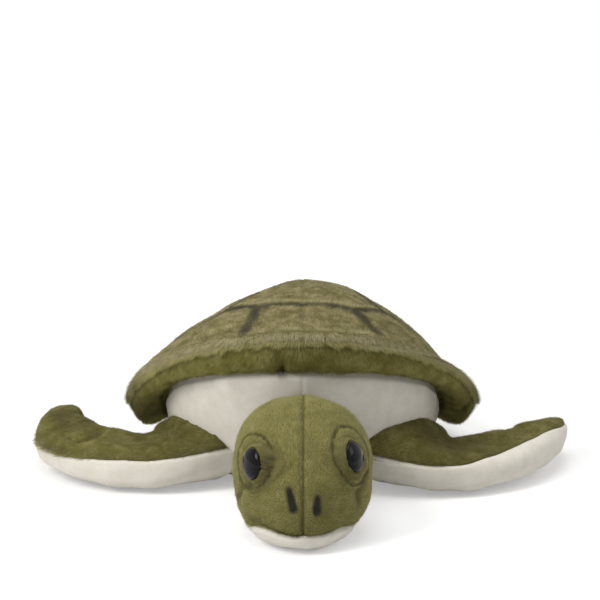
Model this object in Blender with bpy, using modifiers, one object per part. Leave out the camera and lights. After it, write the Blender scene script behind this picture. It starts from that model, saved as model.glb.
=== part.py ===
"""A stuffed plush sea turtle, built as it is sewn: padded bags of cut fabric panels, joined at the neck and limbs.

Metres, +Z up. The origin is on the table, under the middle of the torso, and the nose points along -Y.
Each bag is a UV sphere whose points are moved by a formula. Its panels are patches of that one surface,
so that neighbouring panels meet at their seams, and its stuffing is the same surface, drawn inwards.
"""

import math

import bmesh
import bpy
from mathutils import Matrix, Vector
from mathutils.bvhtree import BVHTree

OBJECT_NAME = "plush_sea_turtle"
UP = Vector((0.0, 0.0, 1.0))

# Fabric and sewing
CLOTH = 0.002
SEAM_GAP = 0.0002
PADDING_GAP = 0.0005
TABLE_CLEARANCE = 0.0005
SOCKET_CLEARANCE = 0.0012

# Torso: the shell's outline seen from above, and the height of its edge
SHELL_HALF_WIDTH = 0.086
SHELL_HALF_LENGTH = 0.0925
SHELL_CENTRE_Y = 0.0075
SHELL_FRONT_FULLNESS = 0.10
SHELL_TOP = Vector((0.0, -0.025, 0.0930))
SHELL_EDGE_FRONT_Z = 0.080
SHELL_EDGE_REAR_Z = 0.0235
SHELL_EDGE_BEND_START = 0.16
SHELL_EDGE_BEND = 0.17
# The dome's profile is a crown that falls to a brim; both are fuller or sharper on the right side by the leans
CROWN_POWER = 1.85
CROWN_LEAN = 0.26
CROWN_FULLNESS = 0.78
BRIM_START = 0.94
BRIM_LEAN = 0.09
BRIM_RISE = 0.26
# The rolled strip under that edge: how far it goes in, how far down, and how far it bulges
STRIP_FRONT = (0.0020, 0.0180, 0.0040)
STRIP_SIDE = (0.0220, 0.0055, 0.0078)
STRIP_REAR = (0.0150, 0.0070, 0.0070)
BELLY_FLAT_SHARE = 0.62
TORSO_COLUMNS = 28
DOME_ROWS = 5
STRIP_ROWS = 2
WALL_ROWS = 4
BASE_ROWS = 2

# Head: the neck is a body of revolution about the nod axis, and the face swells forward from it
NECK = Vector((0.0, -0.092, 0.030))
NECK_RADIUS = 0.024
NECK_HALF_WIDTH = 0.025
NOSE_Y = -0.165
MOUTH_Z = 0.0095
CHEEK_SWELL = 0.0132
CROWN_SWELL = 0.0154
JAW_SWELL = 0.0065
SECTION_SQUARENESS = 0.30
SECTION_LEAN = 0.08
JAW_ROUNDNESS = 0.06
SIDE_CROWDING = 0.147
CHEEK_BLUNTNESS = 0.85
BROW_BLUNTNESS = 0.75
JAW_BLUNTNESS = 0.85
HEAD_COLUMNS = 20
FACE_ROWS = 8
NECK_ROWS = 4
# The mouth's seam is at this angle below the cheeks, and droops from the mouth's corners back
CHIN_ANGLE = math.radians(18)
DROOP_START = 2.0
DROOP_ROWS = 2.5
DROOP = 0.45

# Eyes: a 14 mm safety eye, its stem through the cloth, and the lock washer pressed on behind
EYE_RADIUS = 0.007
EYE_DOME = 0.0026
EYE_SEAT = 0.0
# The cloth is pressed flat under the eye, with this much room
EYE_ROOM = 0.0003
STEM_RADIUS = 0.002
STEM_HOLE = 0.0025
STEM_LENGTH = 0.0090
WASHER_RADIUS = 0.0066
WASHER_THICKNESS = 0.0015
WASHER_DEPTH = 0.0051
WELL_RADIUS = 0.0083
WELL_DEPTH = 0.0098
PATCH_RADIUS = 0.0118
PATCH_DEPTH = 0.0120
# The patch's middle is a little above the eye's and further out; the eye is turned out from the face
PATCH_RISE = 0.0025
PATCH_SHIFT = 0.0020
EYE_SQUINT = math.radians(15)
EYE_TURN = math.radians(60)
EYE_LIFT = math.radians(12)
EYE_PLACES = {"left": (-0.0186, -0.147, 0.0373), "right": (0.0243, -0.147, 0.0410)}
ROUND_STEPS = 16
DOME_STEPS = 5

# Limbs: a root is a ball drawn out along its hinge line, which lies flat, turned from +Y towards the
# limb's side. The spine is a curve from the root by two guides to the tip. The shoulder is the share
# of it in which the ball has flattened out into the blade. A lift raises the leading seam, or lowers it.
SOCKET_COLUMNS = 14
SOCKET_ROWS = 8
FRONT_FLIPPER = {
    "root_radius": 0.0170, "middle_z": 0.0080, "squareness": 0.30,
    "columns": 12, "seam_columns": 1, "root_rows": 3, "rows": 8,
}
REAR_FLIPPER = {
    "hinge_turn": -56, "root_radius": 0.0066, "root_half_chord": 0.0125, "middle_z": 0.0065,
    "top_z": 0.0125, "half_chord": 0.0150, "tip_taper": 0.20, "tip_rise": 0.0, "tip_thinning": 0.0,
    "shoulder": 0.26, "squareness": 0.15, "root_lift": 0.0, "seam_lift": 0.0,
    "columns": 10, "seam_columns": 1, "root_rows": 2, "rows": 5,
}
LIMBS = {
    "front_left_flipper": {
        **FRONT_FLIPPER, "side": -1, "root": (-0.0490, -0.0490, 0.0185), "hinge_turn": 45,
        "root_half_chord": 0.0240, "shoulder": 0.30,
        "guides": ((-0.080, -0.0600), (-0.130, -0.0510)), "tip": (-0.119, 0.019), "top_z": 0.0212,
        "half_chord": 0.0230, "tip_taper": 0.24, "tip_rise": 0.0075, "tip_thinning": 0.0,
        "root_lift": -0.38, "seam_lift": 0.10,
    },
    "front_right_flipper": {
        **FRONT_FLIPPER, "side": 1, "root": (0.0450, -0.0560, 0.0185), "hinge_turn": 40,
        "root_half_chord": 0.0240, "shoulder": 0.36,
        "guides": ((0.076, -0.0680), (0.112, -0.0480)), "tip": (0.128, 0.004), "top_z": 0.0200,
        "half_chord": 0.0230, "tip_taper": 0.28, "tip_rise": 0.0072, "tip_thinning": 0.20,
        "root_lift": -0.50, "seam_lift": -0.05,
    },
    "rear_left_flipper": {
        **REAR_FLIPPER, "side": -1, "root": (-0.0443, 0.0556, 0.0072),
        "guides": ((-0.054, 0.070), (-0.064, 0.085)), "tip": (-0.074, 0.108),
    },
    "rear_right_flipper": {
        **REAR_FLIPPER, "side": 1, "root": (0.0443, 0.0556, 0.0072),
        "guides": ((0.054, 0.070), (0.064, 0.085)), "tip": (0.074, 0.108),
    },
    "tail": {
        "side": 1, "root": (0.0, 0.080, 0.0068), "hinge_turn": -90, "root_radius": 0.0062,
        "root_half_chord": 0.0090, "guides": ((0.0, 0.090), (0.0, 0.100)), "tip": (0.0, 0.114),
        "half_chord": 0.0105, "tip_taper": 0.30, "tip_rise": 0.0, "tip_thinning": 0.0, "middle_z": 0.0064,
        "top_z": 0.0120, "shoulder": 0.26, "squareness": 0.0, "root_lift": 0.0, "seam_lift": 0.0,
        "columns": 8, "seam_columns": 0, "root_rows": 2, "rows": 4,
    },
}

COLOURS = {
    "shell_plush": (0.235, 0.215, 0.090),
    "green_plush": (0.250, 0.235, 0.075),
    "cream_velour": (0.680, 0.640, 0.560),
    "fibre_stuffing": (0.850, 0.850, 0.830),
    "black_eye_plastic": (0.006, 0.006, 0.008),
    "white_washer_plastic": (0.750, 0.750, 0.730),
}
FABRIC_ROUGHNESS = 0.95
PLASTIC_ROUGHNESS = {"black_eye_plastic": 0.06, "white_washer_plastic": 0.45}


def clear_scene():
    for thing in list(bpy.data.objects):
        bpy.data.objects.remove(thing, do_unlink=True)


def make_collection(name):
    collection = bpy.data.collections.new(name)
    bpy.context.scene.collection.children.link(collection)
    return collection


def make_material(name):
    material = bpy.data.materials.new(name)
    material.use_nodes = True
    shader = material.node_tree.nodes["Principled BSDF"]
    shader.inputs["Base Color"].default_value = (*COLOURS[name], 1.0)
    shader.inputs["Roughness"].default_value = PLASTIC_ROUGHNESS.get(name, FABRIC_ROUGHNESS)
    shader.inputs["Metallic"].default_value = 0.0
    return material


def add_object(name, shape, material, joint=None):
    """Links a bmesh, given in world coordinates, as an object with its origin on the joint that carries it."""
    if joint:
        bmesh.ops.translate(shape, verts=shape.verts, vec=-joint.location)
    mesh = bpy.data.meshes.new(name)
    shape.to_mesh(mesh)
    shape.free()
    mesh.materials.append(material)
    mesh.shade_smooth()
    mesh.set_sharp_from_angle(angle=math.radians(50))
    thing = bpy.data.objects.new(name, mesh)
    thing.parent = joint
    parts.objects.link(thing)
    return thing


def add_joint(name, place):
    joint = bpy.data.objects.new(name, None)
    joint.location = place
    joint.empty_display_size = 0.02
    parts.objects.link(joint)
    return joint


def add_cutter(name, shape):
    mesh = bpy.data.meshes.new(name)
    shape.to_mesh(mesh)
    shape.free()
    cutter = bpy.data.objects.new(name, mesh)
    cutter.hide_render = True
    cutter.display_type = "WIRE"
    cutters.objects.link(cutter)
    return cutter


def boolean(thing, cutter, operation="DIFFERENCE"):
    modifier = thing.modifiers.new(f"{operation.lower()}_{cutter.name}", "BOOLEAN")
    modifier.operation = operation
    modifier.solver = "EXACT"
    modifier.object = cutter


def mix(first, second, share):
    return first + (second - first) * share


def ease(value):
    """Rises smoothly from 0 to 1 as the value does."""
    value = max(0.0, min(1.0, value))
    return value * value * (3.0 - 2.0 * value)


def make_bag(columns, rows, place):
    """A UV sphere with each point moved to place(angle round the poles, row below the upper pole)."""
    bag = bmesh.new()
    bmesh.ops.create_uvsphere(bag, u_segments=columns, v_segments=rows, radius=1.0)
    row_of = bag.faces.layers.int.new("row")
    angle_of = bag.faces.layers.float.new("angle")
    for face in bag.faces:
        centre = face.calc_center_median().normalized()
        face[row_of] = int(rows * math.acos(centre.z) / math.pi)
        face[angle_of] = math.atan2(centre.y, centre.x)
    for vert in bag.verts:
        angle = math.atan2(vert.co.y, vert.co.x)
        vert.co = place(angle, rows * math.acos(max(-1.0, min(1.0, vert.co.z))) / math.pi)
    bmesh.ops.triangulate(bag, faces=bag.faces, quad_method="FIXED")
    bmesh.ops.recalc_face_normals(bag, faces=bag.faces)
    bag.normal_update()
    return bag


def make_padding(bag):
    """The stuffing: the bag drawn inwards by the cloth and a gap."""
    padding = bag.copy()
    padding.normal_update()
    for vert in padding.verts:
        vert.co -= vert.normal * (CLOTH + PADDING_GAP)
    return padding


def make_panel(bag, belongs):
    """The patch of the bag whose faces belong to it by row and angle, a cloth thick, just short of its seams."""
    panel = bag.copy()
    panel.normal_update()
    inwards = panel.verts.layers.float_vector.new("inwards")
    for vert in panel.verts:
        vert[inwards] = -vert.normal
    row_of = panel.faces.layers.int["row"]
    angle_of = panel.faces.layers.float["angle"]
    others = [face for face in panel.faces if not belongs(face[row_of], face[angle_of])]
    bmesh.ops.delete(panel, geom=others, context="FACES")
    pulls = {}
    for edge in panel.edges:
        if edge.is_boundary:
            along = (edge.verts[1].co - edge.verts[0].co).normalized()
            away = edge.link_faces[0].calc_center_median() - edge.verts[0].co
            away = (away - along * away.dot(along)).normalized()
            for vert in edge.verts:
                pulls[vert] = pulls.get(vert, Vector()) + away
    for vert, away in pulls.items():
        vert.co += away.normalized() * SEAM_GAP
    made = bmesh.ops.extrude_face_region(panel, geom=panel.faces[:], use_keep_orig=True)
    for piece in made["geom"]:
        if isinstance(piece, bmesh.types.BMVert):
            piece.co += piece[inwards] * CLOTH
    bmesh.ops.recalc_face_normals(panel, faces=panel.faces)
    return panel


def shell_outline(angle):
    """The shell's edge seen from above, by the angle round from its front: a teardrop, fuller in front."""
    across = math.sin(angle) + SHELL_FRONT_FULLNESS * math.sin(2.0 * angle)
    return Vector((SHELL_HALF_WIDTH * across, SHELL_CENTRE_Y - SHELL_HALF_LENGTH * math.cos(angle), 0.0))


def shell_edge(angle):
    """The seam round the shell: high in front, then falling along a hyperbola to nearly level behind."""
    forward = math.cos(angle) - SHELL_EDGE_BEND_START
    front = 1.0 - SHELL_EDGE_BEND_START
    rise = (forward + math.hypot(forward, SHELL_EDGE_BEND)) / (front + math.hypot(front, SHELL_EDGE_BEND))
    return shell_outline(angle) + UP * mix(SHELL_EDGE_REAR_Z, SHELL_EDGE_FRONT_Z, rise)


def outward(angle):
    """The outline's outward direction, square to the line between two near points of it."""
    step = shell_outline(angle + 0.01) - shell_outline(angle - 0.01)
    return step.cross(UP).normalized()


def strip_sizes(angle):
    across = math.sin(angle) ** 2
    end = STRIP_FRONT if math.cos(angle) > 0.0 else STRIP_REAR
    return [mix(at_end, at_side, across) for at_end, at_side in zip(end, STRIP_SIDE)]


def dome_height(angle, share):
    """The height over the edge, as a share of the top's, at a share of the way out from the top."""
    across = math.sin(angle) ** 2
    reach = mix(1.0, min(BRIM_START - BRIM_LEAN * math.sin(angle), 1.0), across)
    power = CROWN_POWER + CROWN_LEAN * math.sin(angle)
    crown = (1.0 - min(share / reach, 1.0) ** power) ** CROWN_FULLNESS
    brim = BRIM_RISE * across * (1.0 - share**5) ** 0.7
    return (crown**4 + brim**4) ** 0.25


def torso_place(turn, row):
    """Dome, rolled strip, belly wall and flat base, one below the other."""
    angle = turn + math.pi / 2.0
    edge = shell_edge(angle)
    inset, drop, bulge = strip_sizes(angle)
    hem = edge - outward(angle) * inset - UP * drop
    if row <= DOME_ROWS:
        share = row / DOME_ROWS
        place = SHELL_TOP.lerp(edge, share)
        place.z = mix(edge.z, SHELL_TOP.z, dome_height(angle, share))
        return place
    if row <= DOME_ROWS + STRIP_ROWS:
        share = (row - DOME_ROWS) / STRIP_ROWS
        swell = (outward(angle) * drop - UP * inset).normalized() * bulge
        return edge.lerp(hem, share) + swell * math.sin(math.pi * share)
    middle = Vector((0.0, SHELL_CENTRE_Y, 0.0))
    flat_hem = Vector((hem.x, hem.y, 0.0))
    if row <= DOME_ROWS + STRIP_ROWS + WALL_ROWS:
        curl = math.pi / 2.0 * (row - DOME_ROWS - STRIP_ROWS) / WALL_ROWS
        place = middle.lerp(flat_hem, mix(BELLY_FLAT_SHARE, 1.0, math.cos(curl)))
        place.z = hem.z * (1.0 - math.sin(curl))
        return place
    share = (DOME_ROWS + STRIP_ROWS + WALL_ROWS + BASE_ROWS - row) / BASE_ROWS
    return middle.lerp(flat_hem, BELLY_FLAT_SHARE * share)


def drooped(turn, row):
    """The angle of a line of points on the jaw: lowered towards the chin, more so behind the mouth's corners."""
    if not -math.pi < turn < 0.0:
        return turn
    quarter = math.pi / 2.0
    below = min(-turn, math.pi + turn) / quarter
    lowered = quarter * below ** mix(1.0, DROOP, ease((row - DROOP_START) / DROOP_ROWS))
    return -lowered if turn > -quarter else lowered - math.pi


def head_place(turn, row):
    """Egg-shaped sections from the mouth back to the neck, then the ball that turns in the chest."""
    turn = drooped(turn, row)
    turn -= SIDE_CROWDING * math.sin(2.0 * turn)
    across = math.cos(turn)
    up = math.sin(turn)
    if row >= FACE_ROWS:
        back = math.pi / 2.0 * (row - FACE_ROWS) / NECK_ROWS
        ring = math.cos(back)
        offset = (NECK_HALF_WIDTH * ring * across, NECK_RADIUS * math.sin(back), NECK_RADIUS * ring * up)
        return NECK + Vector(offset)
    back = math.pi / 2.0 * row / FACE_ROWS
    swell = math.sin(2.0 * back)
    depth = math.sin(back)
    middle_z = mix(MOUTH_Z, NECK.z, depth**1.5)
    half_width = depth**CHEEK_BLUNTNESS * (NECK_HALF_WIDTH + CHEEK_SWELL * swell)
    crown = depth**BROW_BLUNTNESS * (NECK_RADIUS + CROWN_SWELL * swell)
    jaw = depth**JAW_BLUNTNESS * (NECK_RADIUS + JAW_SWELL * swell)
    roundness = JAW_ROUNDNESS if up < 0.0 else 0.0
    squareness = 1.0 - swell * (SECTION_SQUARENESS - SECTION_LEAN * across - roundness)
    across = math.copysign(abs(across) ** squareness, across)
    up = math.copysign(abs(up) ** squareness, up)
    y = mix(NECK.y, NOSE_Y, math.cos(back))
    z = middle_z + up * (crown if up > 0.0 else jaw)
    return Vector((half_width * across, y, max(z, TABLE_CLEARANCE)))


def spine_place(limb, share):
    """A point of the limb's cubic Bezier spine, and the direction across it, seen from above."""
    points = [Vector(limb["root"][:2]), *map(Vector, limb["guides"]), Vector(limb["tip"])]
    rest = 1.0 - share
    weights = (rest**3, 3.0 * share * rest**2, 3.0 * share**2 * rest, share**3)
    slopes = (-3.0 * rest**2, 3.0 * rest * (1.0 - 3.0 * share), 3.0 * share * (2.0 - 3.0 * share), 3.0 * share**2)
    place = sum((point * weight for point, weight in zip(points, weights)), Vector((0.0, 0.0)))
    along = sum((point * slope for point, slope in zip(points, slopes)), Vector((0.0, 0.0)))
    across = UP.cross(along.to_3d()).normalized() * limb["side"]
    return place.to_3d(), across


def hinge_line(limb):
    turn = math.radians(limb["hinge_turn"])
    return Vector((limb["side"] * math.sin(turn), math.cos(turn), 0.0))


def limb_place(limb):
    """Lens-shaped sections: half a ball inside the torso, then along the spine to the tip."""
    root = Vector(limb["root"])
    radius = limb["root_radius"]
    hinge = hinge_line(limb)
    out = hinge.cross(UP) * limb["side"]

    def place(turn, row):
        share = math.sin(math.pi / 2.0 * max(0.0, row - limb["root_rows"]) / limb["rows"])
        settled = ease(share / limb["shoulder"])
        if math.sin(turn) > 0.0 > math.cos(turn):
            turn += mix(limb["root_lift"], limb["seam_lift"], settled) * math.sin(2.0 * turn)
        across = math.cos(turn)
        up = math.sin(turn)
        if row <= limb["root_rows"]:
            inner = math.pi / 2.0 * (1.0 - row / limb["root_rows"])
            ring = math.cos(inner)
            point = root - out * radius * math.sin(inner)
            return point + hinge * limb["root_half_chord"] * ring * across + UP * radius * ring * up
        point, chord = spine_place(limb, share)
        chord = hinge.lerp(chord, settled).normalized()
        rounding = math.sqrt(1.0 - share**4)
        thinning = math.sqrt(1.0 - share**8) * (1.0 - limb["tip_thinning"] * share**2)
        half_chord = mix(limb["root_half_chord"], limb["half_chord"], settled)
        half_chord *= (1.0 - limb["tip_taper"] * share) * rounding
        squareness = 1.0 - limb["squareness"] * settled
        across = math.copysign(abs(across) ** squareness, across)
        up = math.copysign(abs(up) ** squareness, up)
        above = mix(radius, limb["top_z"] - limb["middle_z"], settled)
        below = mix(radius, limb["middle_z"], settled)
        height = mix(root.z, limb["middle_z"], settled) + limb["tip_rise"] * share**2
        point += chord * half_chord * across
        point.z = max(height + (above if up > 0.0 else below) * up * thinning, TABLE_CLEARANCE)
        return point

    return place


def make_socket(name, centre, line, radius, half_length):
    """A ball drawn out along a line, a little larger than the ball that turns in it."""
    shape = bmesh.new()
    turn = line.to_track_quat("Z", "Y").to_matrix().to_4x4()
    wide = radius + SOCKET_CLEARANCE
    size = Matrix.Diagonal((wide, wide, half_length + SOCKET_CLEARANCE, 1.0))
    matrix = Matrix.Translation(centre) @ turn @ size
    bmesh.ops.create_uvsphere(
        shape, u_segments=SOCKET_COLUMNS, v_segments=SOCKET_ROWS, radius=1.0, matrix=matrix
    )
    return add_cutter(name, shape)


def make_bore(name, matrix, radius, depth, height):
    """A round cutter about the matrix's Z axis, from the depth below its origin to the height above."""
    shape = bmesh.new()
    place = matrix @ Matrix.Translation((0.0, 0.0, (height - depth) / 2.0))
    bmesh.ops.create_cone(
        shape, cap_ends=True, segments=ROUND_STEPS, radius1=radius, radius2=radius,
        depth=depth + height, matrix=place,
    )
    return add_cutter(name, shape)


def add_turned(name, profile, closed, matrix, material, joint):
    """A profile of (radius, height) points turned about the matrix's Z axis with a Screw modifier."""
    mesh = bpy.data.meshes.new(name)
    edges = [(index, index + 1) for index in range(len(profile) - 1)]
    if closed:
        edges.append((len(profile) - 1, 0))
    mesh.from_pydata([(radius, 0.0, height) for radius, height in profile], edges, [])
    mesh.materials.append(material)
    thing = bpy.data.objects.new(name, mesh)
    thing.parent = joint
    thing.matrix_local = Matrix.Translation(-joint.location) @ matrix
    turn = thing.modifiers.new("turn", "SCREW")
    turn.steps = ROUND_STEPS
    turn.render_steps = ROUND_STEPS
    turn.use_merge_vertices = True
    turn.merge_threshold = 0.00005
    turn.use_smooth_shade = True
    parts.objects.link(thing)
    return thing


def build_torso(materials):
    bag = make_bag(TORSO_COLUMNS, DOME_ROWS + STRIP_ROWS + WALL_ROWS + BASE_ROWS, torso_place)
    hem_row = DOME_ROWS + STRIP_ROWS
    base_row = hem_row + WALL_ROWS - 1
    pieces = {}
    for side, sign in (("left", -1), ("right", 1)):
        bands = (
            (f"shell_panel_{side}", 0, DOME_ROWS, "shell_plush"),
            (f"shell_rim_{side}", DOME_ROWS, hem_row, "green_plush"),
            (f"chest_panel_{side}", hem_row, base_row, "cream_velour"),
        )
        for name, first, last, cloth in bands:
            panel = make_panel(
                bag, lambda row, angle: first <= row < last and sign * math.cos(angle) > 0.0
            )
            pieces[name] = add_object(name, panel, materials[cloth])
    base = make_panel(bag, lambda row, angle: row >= base_row)
    pieces["belly_panel"] = add_object("belly_panel", base, materials["cream_velour"])
    pieces["torso_stuffing"] = add_object("torso_stuffing", make_padding(bag), materials["fibre_stuffing"])
    bag.free()
    return pieces


def eye_matrix(bag, side):
    """The eye's seat on the face, with Z along the mean normal of the face round it, turned out a little."""
    sign = -1.0 if side == "left" else 1.0
    level = math.cos(EYE_LIFT)
    out = Vector((sign * math.sin(EYE_TURN) * level, -math.cos(EYE_TURN) * level, math.sin(EYE_LIFT)))
    face = BVHTree.FromBMesh(bag)
    start = Vector(EYE_PLACES[side]) + out * PATCH_DEPTH
    seat = face.ray_cast(start, -out)[0]
    turn = out.to_track_quat("Z", "Y")
    normal = Vector()
    for step in range(ROUND_STEPS):
        spot = 2.0 * math.pi * step / ROUND_STEPS
        beside = turn @ Vector((math.cos(spot), math.sin(spot), 0.0)) * EYE_RADIUS
        normal += face.ray_cast(start + beside, -out)[1]
    normal.rotate(Matrix.Rotation(sign * EYE_SQUINT, 3, "Z"))
    return Matrix.Translation(seat) @ normal.to_track_quat("Z", "Y").to_matrix().to_4x4()


def add_eye(side, matrix, materials, joint):
    """A safety eye, from the top of its dome down to the end of its stem, and its lock washer."""
    dome = [
        (EYE_RADIUS * math.sin(turn), EYE_SEAT + EYE_DOME * math.cos(turn))
        for turn in (math.pi / 2.0 * step / DOME_STEPS for step in range(DOME_STEPS + 1))
    ]
    stem = [(STEM_RADIUS, EYE_SEAT), (STEM_RADIUS, -STEM_LENGTH), (0.0, -STEM_LENGTH)]
    add_turned(f"eye_{side}", dome + stem, False, matrix, materials["black_eye_plastic"], joint)
    washer = [
        (WASHER_RADIUS, -WASHER_DEPTH),
        (WASHER_RADIUS, -WASHER_DEPTH - WASHER_THICKNESS),
        (STEM_HOLE, -WASHER_DEPTH - WASHER_THICKNESS),
        (STEM_HOLE, -WASHER_DEPTH),
    ]
    add_turned(f"eye_washer_{side}", washer, True, matrix, materials["white_washer_plastic"], joint)


def build_head(materials):
    joint = add_joint("neck_joint", NECK)
    bag = make_bag(HEAD_COLUMNS, FACE_ROWS + NECK_ROWS, head_place)
    green = materials["green_plush"]

    def is_chin(angle):
        return math.sin(angle) < -math.sin(CHIN_ANGLE)

    chin = make_panel(bag, lambda row, angle: is_chin(angle))
    add_object("chin_panel", chin, materials["cream_velour"], joint)
    stuffing = add_object("head_stuffing", make_padding(bag), materials["fibre_stuffing"], joint)
    for side, sign in (("left", -1), ("right", 1)):
        matrix = eye_matrix(bag, side)
        raised = matrix @ Matrix.Translation((sign * PATCH_SHIFT, PATCH_RISE, 0.0))
        half = make_panel(bag, lambda row, angle: not is_chin(angle) and sign * math.cos(angle) > 0.0)
        patch = add_object(f"eye_patch_{side}", half.copy(), green, joint)
        panel = add_object(f"head_panel_{side}", half, green, joint)
        above = EYE_DOME * 2.0
        boolean(patch, make_bore(f"{side}_patch_edge", raised, PATCH_RADIUS, PATCH_DEPTH, above), "INTERSECT")
        boolean(patch, make_bore(f"{side}_stem_hole", matrix, STEM_HOLE, WELL_DEPTH, above))
        recess = EYE_ROOM - EYE_SEAT
        boolean(patch, make_bore(f"{side}_eye_recess", matrix, EYE_RADIUS + EYE_ROOM, recess, above))
        opening = PATCH_RADIUS + 2.0 * SEAM_GAP
        boolean(panel, make_bore(f"{side}_patch_opening", raised, opening, PATCH_DEPTH, above))
        boolean(stuffing, make_bore(f"{side}_eye_well", matrix, WELL_RADIUS, WELL_DEPTH, above))
        add_eye(side, matrix, materials, joint)
    bag.free()


def build_limb(name, limb, materials):
    joint = add_joint(f"{name}_joint", limb["root"])
    bag = make_bag(limb["columns"], limb["root_rows"] + limb["rows"], limb_place(limb))
    leading_seam = math.pi - 2.0 * math.pi * limb["seam_columns"] / limb["columns"]
    top = make_panel(bag, lambda row, angle: 0.0 < angle < leading_seam)
    underside = make_panel(bag, lambda row, angle: not 0.0 < angle < leading_seam)
    add_object(f"{name}_top", top, materials["green_plush"], joint)
    add_object(f"{name}_underside", underside, materials["cream_velour"], joint)
    add_object(f"{name}_stuffing", make_padding(bag), materials["fibre_stuffing"], joint)
    bag.free()


def cut_sockets(pieces):
    """Hollows in the torso's walls and stuffing for the ball of the neck and of each limb."""
    sockets = [make_socket("neck_socket", NECK, Vector((1.0, 0.0, 0.0)), NECK_RADIUS, NECK_HALF_WIDTH)]
    for name, limb in LIMBS.items():
        sizes = (limb["root_radius"], limb["root_half_chord"])
        sockets.append(make_socket(f"{name}_socket", Vector(limb["root"]), hinge_line(limb), *sizes))
    for name in ("chest_panel_left", "chest_panel_right", "belly_panel", "torso_stuffing"):
        for socket in sockets:
            boolean(pieces[name], socket)


def main():
    materials = {name: make_material(name) for name in COLOURS}
    pieces = build_torso(materials)
    build_head(materials)
    for name, limb in LIMBS.items():
        build_limb(name, limb, materials)
    cut_sockets(pieces)


clear_scene()
parts = make_collection(OBJECT_NAME)
cutters = make_collection(f"{OBJECT_NAME}_cutters")
main()
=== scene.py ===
"""A stuffed plush sea turtle lying on its belly: its sewn cloth, its pile, its eyes, and a plain studio.

Metres, +Z up, nose along -Y. Every sewn bag is one surface given by a formula: rows of points run from one
pole of the bag to the other, and angles run round it. The cloth panels are patches of that surface, and the
pile is rooted on them.
"""

import math

import bpy
import numpy as np
from mathutils.bvhtree import BVHTree
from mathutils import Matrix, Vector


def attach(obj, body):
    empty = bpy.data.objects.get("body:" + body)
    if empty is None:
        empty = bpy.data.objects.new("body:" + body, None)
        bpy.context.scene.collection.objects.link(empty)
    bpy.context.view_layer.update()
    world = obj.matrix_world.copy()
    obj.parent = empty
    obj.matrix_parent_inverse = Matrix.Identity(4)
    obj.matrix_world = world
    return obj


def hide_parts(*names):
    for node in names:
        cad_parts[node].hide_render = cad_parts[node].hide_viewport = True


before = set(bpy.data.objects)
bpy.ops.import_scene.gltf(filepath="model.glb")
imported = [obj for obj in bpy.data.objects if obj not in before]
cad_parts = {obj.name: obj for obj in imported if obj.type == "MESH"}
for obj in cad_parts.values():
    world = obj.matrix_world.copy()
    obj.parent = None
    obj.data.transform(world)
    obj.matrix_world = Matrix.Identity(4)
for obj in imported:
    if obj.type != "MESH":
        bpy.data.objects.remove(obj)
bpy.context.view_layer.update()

UP = np.array([0.0, 0.0, 1.0])
SHELL_TOP = np.array([0.0, -0.025, 0.0930])
NECK = np.array([0.0, -0.092, 0.030])
NECK_RADIUS, NECK_HALF_WIDTH, NOSE_Y = 0.024, 0.025, -0.165
# The belly's flat, as a share of the outline of the rim's lower seam
FLAT_SHARE = 0.62
TABLE_CLEARANCE = 0.0005

# Rows of the torso at which one panel ends and the next begins, and the row of the belly's flat
SHELL_ROW, HEM_ROW, BELLY_SEAM_ROW, BASE_ROW, LAST_TORSO_ROW = 5.0, 7.0, 10.0, 11.0, 13.0
# Angles round the shell from its front: the notch where the rim's ends meet, which is NOTCH_X across, and a
# fold of the rim at its right side
NOTCH_ANGLE, NOTCH_X, RIM_FOLD_ANGLE = -0.098, -0.0090, 1.16
FACE_ROW, LAST_HEAD_ROW = 8.0, 12.0
# How far under the head's sides the chin seam runs, and how much lower its right half is pulled
CHIN_ANGLE, LOW_CORNER = math.radians(18), math.radians(7.5)
SIDES = {"left": -1, "right": 1}
EYE_PLACES = {"left": (-0.0186, -0.147, 0.0373), "right": (0.0243, -0.147, 0.0410)}
# The line along which an eye's seat is looked for, turned out from the nose and lifted, and how far the eye
# itself turns outwards from the slope of the face
EYE_TURN, EYE_LIFT, EYE_SQUINT = math.radians(60), math.radians(12), math.radians(15)
EYE_RADIUS, EYE_DOME = 0.007, 0.0026
# How far each button faces down from the slope of the face, as a share of its axis
EYE_DROOP = {"left": 0.25, "right": 0.14}
# The sewn-in patch's edge: by the angle round the eye in degrees, from outwards by way of up, its radius
PATCH_TURNS = [0, 45, 75, 102, 140, 165, 197, 228, 262, 305, 335]
PATCH_RADII = {
    "left": [0.0140, 0.0152, 0.0130, 0.0100, 0.0083, 0.0082, 0.0088, 0.0096, 0.0102, 0.0125, 0.0135],
    "right": [0.0140, 0.0156, 0.0146, 0.0114, 0.0088, 0.0085, 0.0090, 0.0100, 0.0120, 0.0122, 0.0132],
}

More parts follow.
